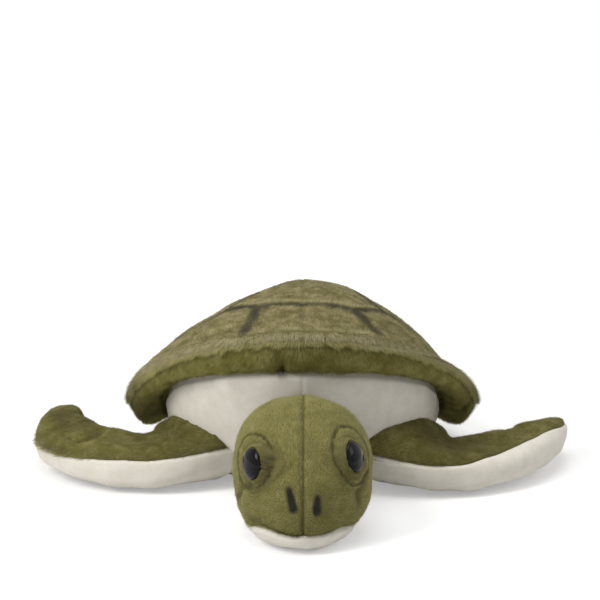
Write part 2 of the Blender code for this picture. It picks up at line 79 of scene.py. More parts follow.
# Each limb's measures: metres, rows or shares, but hinge_turn in degrees and leading_seam in radians
FRONT_FLIPPER = {
    "root_radius": 0.0170, "middle_z": 0.0080,
    "squareness": 0.30, "root_rows": 3, "rows": 8, "leading_seam": math.radians(150),
}
REAR_FLIPPER = {
    "hinge_turn": -56, "root_radius": 0.0066, "root_half_chord": 0.0125, "middle_z": 0.0065,
    "top_z": 0.0125, "half_chord": 0.0150, "tip_taper": 0.20, "tip_rise": 0.0, "tip_thinning": 0.0,
    "shoulder": 0.26, "squareness": 0.15, "root_lift": 0.0, "seam_lift": 0.0, "root_rows": 2, "rows": 5,
    "leading_seam": math.radians(144),
}
LIMBS = {
    "front_left_flipper": {
        **FRONT_FLIPPER, "side": -1, "root": (-0.0490, -0.0490, 0.0185), "hinge_turn": 45,
        "root_half_chord": 0.0240, "shoulder": 0.30,
        "guides": ((-0.080, -0.0600), (-0.130, -0.0510)), "tip": (-0.119, 0.019), "top_z": 0.0212,
        "half_chord": 0.0230, "tip_taper": 0.24, "tip_rise": 0.0075, "tip_thinning": 0.0,
        "root_lift": -0.38, "seam_lift": 0.10,
    },
    "front_right_flipper": {
        **FRONT_FLIPPER, "side": 1, "root": (0.0450, -0.0560, 0.0185), "hinge_turn": 40,
        "root_half_chord": 0.0240, "shoulder": 0.36,
        "guides": ((0.076, -0.0680), (0.112, -0.0480)), "tip": (0.128, 0.004), "top_z": 0.0200,
        "half_chord": 0.0230, "tip_taper": 0.28, "tip_rise": 0.0072, "tip_thinning": 0.20,
        "root_lift": -0.50, "seam_lift": -0.05,
    },
    "rear_left_flipper": {
        **REAR_FLIPPER, "side": -1, "root": (-0.0443, 0.0556, 0.0072),
        "guides": ((-0.054, 0.070), (-0.064, 0.085)), "tip": (-0.074, 0.108),
    },
    "rear_right_flipper": {
        **REAR_FLIPPER, "side": 1, "root": (0.0443, 0.0556, 0.0072),
        "guides": ((0.054, 0.070), (0.064, 0.085)), "tip": (0.074, 0.108),
    },
    "tail": {
        "side": 1, "root": (0.0, 0.080, 0.0068), "hinge_turn": -90, "root_radius": 0.0062,
        "root_half_chord": 0.0090, "guides": ((0.0, 0.090), (0.0, 0.100)), "tip": (0.0, 0.114),
        "half_chord": 0.0105, "tip_taper": 0.30, "tip_rise": 0.0, "tip_thinning": 0.0, "middle_z": 0.0064,
        "top_z": 0.0120, "shoulder": 0.26, "squareness": 0.0, "root_lift": 0.0, "seam_lift": 0.0,
        "root_rows": 2, "rows": 4, "leading_seam": math.pi,
    },
}


# Numbers and vectors


def mix(first, second, share):
    return first + (second - first) * share


def ease(value):
    """Rises smoothly from 0 to 1 as the value does."""
    value = np.clip(value, 0.0, 1.0)
    return value * value * (3.0 - 2.0 * value)


def hump(distance, width):
    """A bell curve: 1 at no distance, falling to nearly nothing at twice the width."""
    return np.exp(-((distance / width) ** 2))


def signed_power(value, power):
    return np.sign(value) * np.abs(value) ** power


def stack(x, y, z):
    return np.stack(np.broadcast_arrays(x, y, z), axis=-1)


def length_of(vectors):
    return np.linalg.norm(vectors, axis=-1, keepdims=True)


def unit(vectors):
    return vectors / np.maximum(length_of(vectors), 1e-12)


def dot(first, second):
    return np.sum(first * second, axis=-1, keepdims=True)


def waves(places, size, seed):
    """Smooth noise of about that wavelength, mostly from -1 to 1: sine waves in many directions, added up."""
    chance = np.random.default_rng(seed)
    directions = unit(chance.normal(size=(14, 3))) * (2.0 * math.pi / size)
    directions *= chance.uniform(0.6, 1.5, size=(14, 1))
    total = np.sin(places @ directions.T + chance.uniform(0.0, 2.0 * math.pi, 14)).sum(axis=-1)
    return total / 5.0


def round_waves(angle, size, seed, reach=0.080):
    """Smooth noise that changes only round the torso, on which a radian is about as long as the reach."""
    return waves(stack(angle * reach, 0.0, 0.0), size, seed)


def line_distance(places, line):
    """The least distance from each place to a line through points, seen along the axes that the line has."""
    line = np.array(line, float)
    places = places[..., : line.shape[1]]
    nearest = np.full(places.shape[:-1], np.inf)
    for start, end in zip(line[:-1], line[1:]):
        span = end - start
        share = np.clip((places - start) @ span / (span @ span), 0.0, 1.0)
        nearest = np.minimum(nearest, np.linalg.norm(places - start - share[..., None] * span, axis=-1))
    return nearest


# The bags' surfaces


def shell_outline(angle):
    """The shell's edge seen from above, by the angle round from its front: a teardrop, fuller in front."""
    return stack(0.086 * (np.sin(angle) + 0.10 * np.sin(2.0 * angle)), 0.0075 - 0.0925 * np.cos(angle), 0.0)


def shell_edge(angle):
    """The seam round the shell: high in front, then falling along a hyperbola to nearly level behind."""
    forward = np.cos(angle) - 0.16
    rise = (forward + np.hypot(forward, 0.17)) / (0.84 + np.hypot(0.84, 0.17))
    edge = shell_outline(angle)
    edge[..., 2] = mix(0.0235, 0.080, rise)
    return edge


def dome_height(angle, share):
    """The height over the edge, 1 at the top: the greater of a crown and a low brim at the sides, blended."""
    across = np.sin(angle) ** 2
    reach = mix(1.0, np.minimum(0.94 - 0.09 * np.sin(angle), 1.0), across)
    crown = (1.0 - np.minimum(share / reach, 1.0) ** (1.85 + 0.26 * np.sin(angle))) ** 0.78
    brim = 0.26 * across * (1.0 - share**5) ** 0.7
    return (crown**4 + brim**4) ** 0.25


def torso_points(angle, row):
    """Dome down to the edge; rolled strip, a sine bulge on a line; wall, a quarter ellipse; flat base."""
    edge = shell_edge(angle)
    step = shell_outline(angle + 0.01) - shell_outline(angle - 0.01)
    out = unit(stack(step[..., 1], -step[..., 0], 0.0))
    across = np.sin(angle) ** 2
    front = np.cos(angle) > 0.0
    inset = mix(np.where(front, 0.0020, 0.0150), 0.0220, across)[..., None]
    drop = mix(np.where(front, 0.0180, 0.0070), 0.0055, across)[..., None]
    bulge = mix(np.where(front, 0.0040, 0.0070), 0.0078, across)[..., None]
    hem = edge - out * inset - UP * drop
    share = np.clip(row / SHELL_ROW, 0.0, 1.0)
    dome = mix(SHELL_TOP, edge, share[..., None])
    dome[..., 2] = mix(edge[..., 2], SHELL_TOP[2], dome_height(angle, share))
    share = np.clip((row - SHELL_ROW) / (HEM_ROW - SHELL_ROW), 0.0, 1.0)[..., None]
    strip = mix(edge, hem, share) + unit(out * drop - UP * inset) * bulge * np.sin(math.pi * share)
    middle = np.array([0.0, 0.0075, 0.0])
    flat = hem * np.array([1.0, 1.0, 0.0])
    curl = math.pi / 2.0 * np.clip((row - HEM_ROW) / (BASE_ROW - HEM_ROW), 0.0, 1.0)
    wall = mix(middle, flat, mix(FLAT_SHARE, 1.0, np.cos(curl))[..., None])
    wall[..., 2] = hem[..., 2] * (1.0 - np.sin(curl))
    share = np.clip((LAST_TORSO_ROW - row) / (LAST_TORSO_ROW - BASE_ROW), 0.0, 1.0)
    base = mix(middle, flat, FLAT_SHARE * share[..., None])
    places = np.where((row <= SHELL_ROW)[..., None], dome, strip)
    places = np.where((row > HEM_ROW)[..., None], wall, places)
    return np.where((row > BASE_ROW)[..., None], base, places)


def drooped(turn, row):
    """The angles of the jaw's points, lowered towards the chin, more so behind the mouth's corners."""
    turn = (turn + math.pi) % (2.0 * math.pi) - math.pi
    quarter = math.pi / 2.0
    below = np.clip(np.minimum(-turn, math.pi + turn) / quarter, 0.0, 1.0)
    lowered = quarter * below ** mix(1.0, 0.45, ease((row - 2.0) / 2.5))
    return np.where(turn >= 0.0, turn, np.where(turn > -quarter, -lowered, lowered - math.pi))


def head_points(turn, row):
    """Egg-shaped, slightly squared sections from the mouth back to the neck, then the ball in the chest."""
    turn = drooped(turn, row)
    turn = turn - 0.147 * np.sin(2.0 * turn)
    back = math.pi / 2.0 * np.clip(row / FACE_ROW, 0.0, 1.0)
    swell, depth = np.sin(2.0 * back), np.sin(back)
    squareness = 1.0 - swell * (0.30 - 0.08 * np.cos(turn) - np.where(np.sin(turn) < 0.0, 0.06, 0.0))
    across, up = signed_power(np.cos(turn), squareness), signed_power(np.sin(turn), squareness)
    crown = depth**0.75 * (0.024 + 0.0154 * swell)
    jaw = depth**0.85 * (0.024 + 0.0065 * swell)
    face = stack(
        depth**0.85 * (0.025 + 0.0132 * swell) * across,
        mix(NECK[1], NOSE_Y, np.cos(back)),
        np.maximum(mix(0.0095, NECK[2], depth**1.5) + up * np.where(up > 0.0, crown, jaw), TABLE_CLEARANCE),
    )
    inner = math.pi / 2.0 * np.clip((row - FACE_ROW) / (LAST_HEAD_ROW - FACE_ROW), 0.0, 1.0)
    ring = np.cos(inner)
    neck = stack(
        NECK_HALF_WIDTH * ring * np.cos(turn), NECK_RADIUS * np.sin(inner), NECK_RADIUS * ring * np.sin(turn)
    )
    return np.where((row < FACE_ROW)[..., None], face, NECK + neck)


def hinge_line(limb):
    """The level direction along which a limb's root is sewn."""
    turn = math.radians(limb["hinge_turn"])
    return np.array([limb["side"] * math.sin(turn), math.cos(turn), 0.0])


def blade_share(limb, row):
    """The share of the way from the root to the tip, in steps that shrink towards the tip."""
    return np.sin(math.pi / 2.0 * np.clip((row - limb["root_rows"]) / limb["rows"], 0.0, 1.0))


def blade_spine(limb, share):
    """The cubic Bezier curve through the middle of a blade, seen from above, and its slopes."""
    rest = 1.0 - share
    line = np.array([limb["root"][:2], *limb["guides"], limb["tip"]])
    weights = stack(rest**3, 3.0 * share * rest**2, 3.0 * share**2 * rest)
    slopes = stack(-3.0 * rest**2, 3.0 * rest * (1.0 - 3.0 * share), 3.0 * share * (2.0 - 3.0 * share))
    spine = weights @ line[:3] + (share**3)[..., None] * line[3]
    return spine, slopes @ line[:3] + (3.0 * share**2)[..., None] * line[3]


def limb_points(limb, turn, row):
    """Half a ball inside the torso, then lens-shaped sections along a Bezier spine to the tip."""
    side, radius, root_chord = limb["side"], limb["root_radius"], limb["root_half_chord"]
    root = np.array(limb["root"])
    hinge = hinge_line(limb)
    out = np.array([hinge[1], -hinge[0], 0.0]) * side
    share = blade_share(limb, row)
    settled = ease(share / limb["shoulder"])
    lift = mix(limb["root_lift"], limb["seam_lift"], settled) * np.sin(2.0 * turn)
    turn = np.where((np.sin(turn) > 0.0) & (np.cos(turn) < 0.0), turn + lift, turn)
    inner = math.pi / 2.0 * (1.0 - np.clip(row / limb["root_rows"], 0.0, 1.0))
    ring = np.cos(inner)[..., None]
    ball = root - out * radius * np.sin(inner)[..., None]
    ball = ball + hinge * root_chord * ring * np.cos(turn)[..., None]
    ball = ball + UP * radius * ring * np.sin(turn)[..., None]
    spine, along = blade_spine(limb, share)
    chord = unit(mix(hinge, unit(stack(-along[..., 1], along[..., 0], 0.0)) * side, settled[..., None]))
    half_chord = mix(root_chord, limb["half_chord"], settled) * (1.0 - limb["tip_taper"] * share)
    half_chord = half_chord * np.sqrt(1.0 - share**4)
    squareness = 1.0 - limb["squareness"] * settled
    across, up = signed_power(np.cos(turn), squareness), signed_power(np.sin(turn), squareness)
    above = mix(radius, limb["top_z"] - limb["middle_z"], settled)
    below = mix(radius, limb["middle_z"], settled)
    height = mix(root[2], limb["middle_z"], settled) + limb["tip_rise"] * share**2
    thinning = np.sqrt(1.0 - share**8) * (1.0 - limb["tip_thinning"] * share**2)
    height = height + np.where(up > 0.0, above, below) * up * thinning
    plan = spine + chord[..., :2] * (half_chord * across)[..., None]
    blade = stack(plan[..., 0], plan[..., 1], np.maximum(height, TABLE_CLEARANCE))
    return np.where((row <= limb["root_rows"])[..., None], ball, blade)


def with_seams(values, seams, near):
    """The values, and more of them close to each seam, where the cloth turns in."""
    extra = [seam + sign * step for seam in seams for sign in (-1, 1) for step in near]
    return np.unique(np.round(np.concatenate([values, seams, extra]), 6))


def grid_quads(rows, columns):
    """The four corners of each cell of a grid whose columns go round and whose end rows are single points."""
    index = np.arange(rows * columns).reshape(rows, columns)
    index[0], index[-1] = index[0, 0], index[-1, 0]
    nearer, farther = index[:-1], index[1:]
    return np.stack([nearer, np.roll(nearer, -1, axis=1), np.roll(farther, -1, axis=1), farther], axis=-1)


def part_of(cloth, triangles):
    """The points and fields of a cloth that some of its triangles use, with those triangles."""
    used, places = np.unique(triangles, return_inverse=True)
    made = {key: value[used] for key, value in cloth.items() if key != "triangles"}
    made["triangles"] = places.reshape(-1, 3)
    return made


def closed_part(cloth, triangles):
    """The part of a cloth that those triangles use, without the ones that a pole has closed to a line."""
    a, b, c = triangles.T
    return part_of(cloth, triangles[(a != b) & (b != c) & (c != a)])


def facing(cloth):
    """The triangles' normals, twice as long as their areas."""
    corners = cloth["points"][cloth["triangles"]]
    return np.cross(corners[:, 1] - corners[:, 0], corners[:, 2] - corners[:, 0])


def turned_out(cloth, outward):
    """The cloth with its triangles turned over if they face against the outward directions."""
    if dot(facing(cloth), outward).sum() < 0.0:
        cloth["triangles"] = cloth["triangles"][:, ::-1]
    return cloth


def thinned(cloth, keep):
    """The cloth without the triangles whose three corners are all in places not kept."""
    return part_of(cloth, cloth["triangles"][keep[cloth["triangles"]].any(axis=1)])


class Bag:
    """A bag's surface on a grid of rows and angles, with its outward normals and the distances along it."""

    def __init__(self, place, rows, angles):
        self.rows, self.angles, self.extra = rows, angles, {}
        self.angle, self.row = np.meshgrid(angles, rows)
        self.points = place(self.angle, self.row)
        self.measure()

    def measure(self):
        """Works out the normals, the distance down from the first pole and the spacing round each row."""
        points = self.points
        down = np.gradient(points, axis=0)
        around = np.roll(points, -1, axis=1) - np.roll(points, 1, axis=1)
        normals = unit(np.cross(down, around))
        for pole, beside in ((0, 1), (-1, -2)):
            normals[pole] = unit(normals[beside].mean(axis=0))
        centre = points.mean(axis=(0, 1))
        if dot(normals, points - centre).mean() < 0.0:
            normals = -normals
        self.normals = normals
        steps = np.linalg.norm(np.diff(points, axis=0), axis=-1)
        self.run = np.concatenate([np.zeros((1, points.shape[1])), np.cumsum(steps, axis=0)])
        self.pitch = np.linalg.norm(around, axis=-1) / 2.0

    def from_row(self, row):
        """The signed distance down the surface from a row."""
        return self.run - self.run[np.abs(self.rows - row).argmin()]

    def from_angle(self, seam):
        """The distance round the surface from an angle."""
        gap = np.abs((self.angle - seam + math.pi) % (2.0 * math.pi) - math.pi)
        spacing = np.gradient(np.concatenate([self.angles, [self.angles[0] + 2.0 * math.pi]]))[:-1]
        return gap * self.pitch / spacing

    def push(self, offset):
        """Moves the surface along its normals, but not below the table, or 0.3 mm over it where clear."""
        self.points = self.points + self.normals * offset[..., None]
        height = self.points[..., 2]
        self.points[..., 2] = np.maximum(height, 0.0 if height.min() < 0.0002 else 0.0003)
        self.measure()

    def panel(self, belongs=lambda row, angle: row >= 0.0):
        """The cloth of the cells whose middles belong to a panel by row and angle."""
        last = self.angles[0] + 2.0 * math.pi
        middle_angle = (self.angles + np.concatenate([self.angles[1:], [last]])) / 2.0
        middle_row = (self.rows[:-1] + self.rows[1:]) / 2.0
        wanted = belongs(*np.broadcast_arrays(middle_row[:, None], middle_angle[None, :]))
        triangles = grid_quads(*self.row.shape)[wanted][:, [0, 1, 2, 0, 2, 3]].reshape(-1, 3)
        whole = {"points": self.points.reshape(-1, 3), "normals": self.normals.reshape(-1, 3)}
        fields = {"angle": self.angle, "row": self.row, **self.extra}
        whole.update((key, value.ravel()) for key, value in fields.items())
        made = closed_part(whole, triangles)
        return turned_out(made, made["normals"][made["triangles"]].mean(axis=1))


# Materials

SHADER_INPUTS = {
    "ior": "IOR", "specular": "Specular IOR Level", "sheen": "Sheen Weight",
    "sheen_roughness": "Sheen Roughness",
}


def linear(code):
    """An sRGB hex colour, such as 9c9668, as linear red, green, blue and 1."""
    parts = [int(code[at : at + 2], 16) / 255.0 for at in (0, 2, 4)]
    return (*(part / 12.92 if part <= 0.04045 else ((part + 0.055) / 1.055) ** 2.4 for part in parts), 1.0)


def add_node(tree, kind, links=(), values=(), **settings):
    """Adds a node with its settings, its sockets' constants, and its links from other nodes' outputs."""
    node = tree.nodes.new(kind)
    for name, value in settings.items():
        setattr(node, name, value)
    for socket, value in dict(values).items():
        node.inputs[socket].default_value = value
    for socket, output in dict(links).items():
        tree.links.new(output, node.inputs[socket])
    return node


def math_node(tree, operation, first, second):
    return add_node(tree, "ShaderNodeMath", {0: first, 1: second}, operation=operation).outputs[0]


def new_material(name):
    """A material with only its output and one Principled shader, and its node tree."""
    material = bpy.data.materials.new(name)
    material.use_nodes = True
    return material, material.node_tree


def bump(tree, height, strength, distance, under=None):
    """The normal of a bump of that height, over another bump if one is given."""
    links = {"Height": height} if under is None else {"Height": height, "Normal": under}
    node = add_node(tree, "ShaderNodeBump", links, {"Strength": strength, "Distance": distance})
    return node.outputs["Normal"]


def finished(material, colour, roughness, normal=None, **finish):
    """The material with its Principled shader's colour, roughness, bump and other settings."""
    tree = material.node_tree
    shader = tree.nodes["Principled BSDF"]
    tree.links.new(colour, shader.inputs["Base Color"])
    shader.inputs["Roughness"].default_value = roughness
    if normal is not None:
        tree.links.new(normal, shader.inputs["Normal"])
    for name, value in finish.items():
        shader.inputs[SHADER_INPUTS[name]].default_value = value
    return material


def attribute(tree, name):
    return add_node(tree, "ShaderNodeAttribute", attribute_name=name).outputs["Fac"]


def noise(tree, size, detail=3.0):
    """Noise on Object coordinates whose patches are about that many metres across."""
    place = add_node(tree, "ShaderNodeTexCoord").outputs["Object"]
    values = {"Scale": 1.0 / size, "Detail": detail, "Roughness": 0.6}
    return add_node(tree, "ShaderNodeTexNoise", {"Vector": place}, values).outputs["Fac"]


def ramp(tree, value, stops):
    """A colour for a value, by stops of (place, hex colour)."""
    node = add_node(tree, "ShaderNodeValToRGB", {"Fac": value})
    stops_made = node.color_ramp.elements
    for _ in stops[2:]:
        stops_made.new(0.5)
    for made, (place, code) in zip(stops_made, stops):
        made.position = place
        made.color = linear(code)
    return node.outputs["Color"]


def blend_colours(tree, share, first, second, way="MIX"):
    node = add_node(tree, "ShaderNodeMix", data_type="RGBA", blend_type=way)
    for socket, value in ((0, share), (6, first), (7, second)):
        if isinstance(value, bpy.types.NodeSocket):
            tree.links.new(value, node.inputs[socket])
        else:
            node.inputs[socket].default_value = value
    return node.outputs[2]


def spread(tree, value, low, high, to_low, to_high):
    """The value carried from one range to another, and held at its ends."""
    values = {"From Min": low, "From Max": high, "To Min": to_low, "To Max": to_high}
    return add_node(tree, "ShaderNodeMapRange", {"Value": value}, values).outputs["Result"]


def pile_material(name, dark, middle, light, pale, dye, patch, depth):
    """Acrylic pile, dyed in the yarn: dull fibres, a little sheeny, darkened towards the root by painted
    shade.

    Patches of the given size turn it from the dark to the light colour, each fibre has its own tone, the pale
    colour is a painted highlight where the pile stands at a seam and paler dye elsewhere, and the dye colour
    is airbrushed dye and painted shade laid over it. The depth is how bright the painted shade leaves the
    root, as a share of the tip.
    """
    material, tree = new_material(name)
    own_tone = spread(tree, attribute(tree, "tone"), 0.0, 1.0, -0.16, 0.16)
    tone = math_node(tree, "ADD", noise(tree, patch), own_tone)
    colour = ramp(tree, tone, [(0.34, dark), (0.50, middle), (0.68, light)])
    # Painted highlight where the pile stands at a seam, and paler dye elsewhere
    colour = blend_colours(tree, attribute(tree, "pale"), colour, linear(pale))
    # Airbrushed dye, and painted shade in creases, folds, the notch and under the fringe
    colour = blend_colours(tree, attribute(tree, "dye"), colour, linear(dye))
    # Painted shade: each fibre darker towards its root, where shade falls deep in the pile
    shade = spread(tree, attribute(tree, "along"), 0.0, 1.0, depth, 1.0)
    grey = add_node(tree, "ShaderNodeCombineColor", {"Red": shade, "Green": shade, "Blue": shade})
    colour = blend_colours(tree, 1.0, colour, grey.outputs["Color"], "MULTIPLY")
    return finished(material, colour, 0.9, specular=0.10, sheen=0.04, sheen_roughness=0.5)


def backing_material(name, code):
    """Knitted polyester backing under the pile: dull, darker than the fibres, its loops 1 mm apart."""
    material, tree = new_material(name)
    colour = blend_colours(tree, noise(tree, 0.004), linear(code), linear("4a4520"))
    # Airbrushed dye, and painted shade in the creases, as on the pile
    colour = blend_colours(tree, attribute(tree, "dye"), colour, linear("17140c"))
    return finished(material, colour, 0.95, bump(tree, noise(tree, 0.001, 1.0), 0.5, 0.0004))


def velour_material(name, light, shade):
    """Cream velour: a dense nap 1 mm high that brushes into soft, faintly darker patches 6 mm across.

    The nap's own fibres, 0.1 mm apart, are too fine to show and are drawn 0.7 mm apart.
    """
    material, tree = new_material(name)
    colour = ramp(tree, noise(tree, 0.006), [(0.35, shade), (0.62, light)])
    fibres = noise(tree, 0.0007, 2.0)
    colour = blend_colours(tree, spread(tree, fibres, 0.35, 0.65, 0.06, 0.0), colour, linear("8f8573"))
    # Painted shade and shadow where a piece asks for it: under the rim's notch and under the lip's pile
    colour = blend_colours(tree, attribute(tree, "soil"), colour, linear("4a4232"))
    normal = bump(tree, noise(tree, 0.005), 0.12, 0.0006, bump(tree, fibres, 0.12, 0.0003))
    return finished(material, colour, 0.9, normal, specular=0.2, sheen=0.35, sheen_roughness=0.4)


def eye_material():
    """Black injection-moulded acrylic, polished in the mould, so that it mirrors the softboxes."""
    material, tree = new_material("polished_black_acrylic")
    colour = ramp(tree, noise(tree, 0.003), [(0.40, "050507"), (0.65, "0a0a0e")])
    return finished(material, colour, 0.12, ior=1.46, specular=0.15)


def washer_material():
    """White moulded polyethylene: slightly waxy, with a fine moulded grain."""
    material, tree = new_material("white_moulded_polyethylene")
    return finished(material, ramp(tree, noise(tree, 0.004), [(0.35, "d8d6cf"), (0.65, "e6e4de")]), 0.45)


def filling_material():
    """Hollow polyester fibre, crimped and matted: white, dull, with tufts about 5 mm across."""
    material, tree = new_material("white_polyester_fibrefill")
    tufts = noise(tree, 0.005, 5.0)
    colour = ramp(tree, tufts, [(0.35, "cfcdc6"), (0.65, "efeee9")])
    return finished(material, colour, 0.95, bump(tree, tufts, 0.8, 0.001))


MATERIALS = {
    "shell_pile": pile_material(
        "mottled_olive_acrylic_pile", dark="6e663b", middle="8e8557", light="aca273", pale="cfc596",
        dye="454130", patch=0.0055, depth=0.66,
    ),
    "green_pile": pile_material(
        "moss_green_acrylic_pile", dark="918a45", middle="a69e58", light="bcb46f", pale="cac281",
        dye="2b2612", patch=0.0060, depth=0.62,
    ),
    "flipper_pile": pile_material(
        "dark_moss_acrylic_pile", dark="6b662e", middle="827b42", light="99925a", pale="aaa26e",
        dye="33290f", patch=0.0060, depth=0.64,
    ),
    "head_pile": pile_material(
        "light_moss_acrylic_pile", dark="8a844c", middle="979156", light="a69f66", pale="b3ac78",
        dye="100d08", patch=0.0060, depth=0.68,
    ),
    "backing": backing_material("olive_knitted_backing", "6d6734"),
    "velour": velour_material("cream_polyester_velour", light="e6e0d4", shade="ded8ca"),
    "eye": eye_material(),
    "washer": washer_material(),
    "filling": filling_material(),
}


# Pieces


def add_piece(name, cloth, material, body, slot, replaces=(), **fields):
    """A mesh object of a cloth's points and triangles, riding on a body and standing for CAD nodes.

    Each field is a number for each point, or one number for all, that the material reads by its name.
    """
    points, triangles = cloth["points"], cloth["triangles"]
    mesh = bpy.data.meshes.new(name)
    mesh.vertices.add(len(points))
    mesh.vertices.foreach_set("co", np.ascontiguousarray(points, np.float32).ravel())
    mesh.loops.add(triangles.size)
    mesh.loops.foreach_set("vertex_index", np.ascontiguousarray(triangles, np.int32).ravel())
    mesh.polygons.add(len(triangles))
    mesh.polygons.foreach_set("loop_start", np.arange(0, triangles.size, 3, dtype=np.int32))
    mesh.update(calc_edges=True)
    mesh.polygons.foreach_set("use_smooth", np.ones(len(triangles), bool))
    for field, values in fields.items():
        made = mesh.attributes.new(field, "FLOAT", "POINT")
        made.data.foreach_set("value", np.ascontiguousarray(np.broadcast_to(values, len(points)), np.float32))
    mesh.materials.append(MATERIALS[material])
    piece = bpy.data.objects.new(name, mesh)
    bpy.context.scene.collection.objects.link(piece)
    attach(piece, body)
    if replaces:
        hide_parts(*replaces)
    return piece


def strands(cloth, spacing, chance):
    """Roots spread evenly over the cloth, one for each square of the spacing: places, normals and fields."""
    triangles = cloth["triangles"]
    reach = np.cumsum(length_of(facing(cloth))[:, 0] / 2.0)
    count = int(reach[-1] / spacing**2)
    along = (np.arange(count) + chance.random(count)) * reach[-1] / count
    chosen = np.minimum(np.searchsorted(reach, along), len(triangles) - 1)
    first, second = np.sqrt(chance.random(count)), chance.random(count)
    weights = np.stack([1.0 - first, first * (1.0 - second), first * second], axis=-1)
    made = {}
    for key in cloth:
        if key != "triangles":
            values = cloth[key][triangles[chosen]]
            made[key] = (values * (weights if values.ndim == 2 else weights[..., None])).sum(axis=1)
    made["normals"] = unit(made["normals"])
    return made


def add_pile(
    name, cloth, material, body, slot, seed, nap, paint, flow=None, *,
    spacing, height, width, lay, streaks=0.22,
):
    """Pile of straight, tapering fibres, one triangle each, that stand at the angle of lay over the cloth.

    They lean along the nap, turned a little at random and in tufts by smooth noise, so that neighbours lean
    together. Their normals follow the cloth, as thick pile shades. The paint gives each fibre its dye and
    painted shade, its paleness and painted highlight, and its height as a share. Streaks along the flow, 1.1
    mm wide, or 1.4 mm spots where no flow is given, lie in the fibres' tone. Each fibre has its own cell of
    the map that its colours are baked to.
    """
    chance = np.random.default_rng(seed)
    roots = strands(cloth, spacing, chance)
    place, normal = roots["points"], roots["normals"]
    count = len(place)
    dye, pale, tall = paint(roots)
    lean = nap(roots)
    lean = unit(lean - normal * dot(lean, normal))
    beside = np.cross(lean, normal)
    tufts = 0.20 * waves(place, 0.0060, seed + 1) + 0.10 * waves(place, 0.0022, seed + 4)
    turn = (chance.normal(0.0, 0.22, count) + tufts)[:, None]
    lean = lean * np.cos(turn) + beside * np.sin(turn)
    beside = np.cross(lean, normal)
    tufts = 1.0 + 0.14 * waves(place, 0.0042, seed + 2)
    reach = (height * tall * chance.uniform(0.72, 1.12, count) * tufts)[:, None]
    angle = lay + 4.0 * waves(place, 0.0036, seed + 3) + chance.normal(0.0, 4.0, count)
    # One fibre in twenty stands up from the rest
    angle = angle + 26.0 * (chance.random(count) < 0.05)
    angle = np.radians(np.clip(angle, 6.0, 75.0))[:, None]
    root = place - normal * 0.0002
    tip = root + reach * (lean * np.cos(angle) + normal * np.sin(angle))
    half = beside * width / 2.0
    points = np.stack([root - half, root + half, tip], axis=1)
    points[..., 2] = np.maximum(points[..., 2], 0.0002)
    streak = waves(flow(roots), 0.0011, seed + 5) if flow else waves(place, 0.0014, seed + 5)
    tone = np.clip(0.5 + streaks * streak + chance.normal(0.0, 0.10, count), 0.0, 1.0)
    piece = add_piece(
        name, {"points": points.reshape(-1, 3), "triangles": np.arange(count * 3).reshape(-1, 3)},
        material, body, slot, dye=np.repeat(dye, 3), pale=np.repeat(pale, 3), tone=np.repeat(tone, 3),
        along=np.tile([0.0, 0.0, 1.0], count),
    )
    shading = unit(normal + 0.25 * lean + 0.14 * chance.normal(size=(count, 3)))
    piece.data.normals_split_custom_set_from_vertices(np.repeat(shading, 3, axis=0))
    cells = math.ceil(math.sqrt(count))
    cell = np.stack([np.arange(count) % cells, np.arange(count) // cells], axis=-1)[:, None, :]
    inside = np.array([[0.1, 0.1], [0.9, 0.1], [0.5, 0.95]])
    spots = ((cell + inside) / cells).reshape(-1, 2)
    layer = piece.data.uv_layers.new(name="OFBake")
    layer.data.foreach_set("uv", spots.astype(np.float32).ravel())


# Torso

# How close to a seam the extra angles, in radians, and the extra rows lie
SEAM_STEPS = (0.004, 0.009, 0.016, 0.026, 0.040)
ROW_STEPS = (0.02, 0.05, 0.09, 0.14, 0.20)

torso_angles = with_seams(np.linspace(-math.pi, math.pi, 301)[:-1], [0.0], SEAM_STEPS)
near_back = [sign * (math.pi - step) for sign in (-1, 1) for step in SEAM_STEPS]
torso_rows = np.concatenate([
    np.linspace(0.0, SHELL_ROW, 61), np.linspace(SHELL_ROW, HEM_ROW, 23),
    np.linspace(HEM_ROW, BASE_ROW, 33), np.linspace(BASE_ROW, LAST_TORSO_ROW, 13),
])
torso = Bag(
    torso_points, with_seams(torso_rows, [SHELL_ROW, HEM_ROW, BELLY_SEAM_ROW], ROW_STEPS),
    np.unique(np.round(np.concatenate([torso_angles, near_back]), 6)),
)
from_edge, from_hem = torso.from_row(SHELL_ROW), torso.from_row(HEM_ROW)
from_belly_seam = np.abs(torso.from_row(BELLY_SEAM_ROW))
from_middle_seam = np.minimum(torso.from_angle(0.0), torso.from_angle(math.pi))
from_notch, from_fold = torso.from_angle(NOTCH_ANGLE), torso.from_angle(RIM_FOLD_ANGLE)
on_shell, on_rim = torso.row <= SHELL_ROW, (torso.row > SHELL_ROW) & (torso.row <= HEM_ROW)
on_chest, on_base = (torso.row > HEM_ROW) & (torso.row < BASE_ROW), torso.row >= BASE_ROW

# The shell's cloth lies under 2 mm of pile, which fills it out to the shape of the solid
offset = on_shell * (-0.0012 + 0.0005 * waves(torso.points, 0.030, 11))
offset -= 0.0002 * on_shell * hump(from_middle_seam, 0.0010)
offset += 0.0013 * on_shell * hump(from_edge + 0.0034, 0.0044)
offset -= 0.0008 * hump(from_edge, 0.0010)
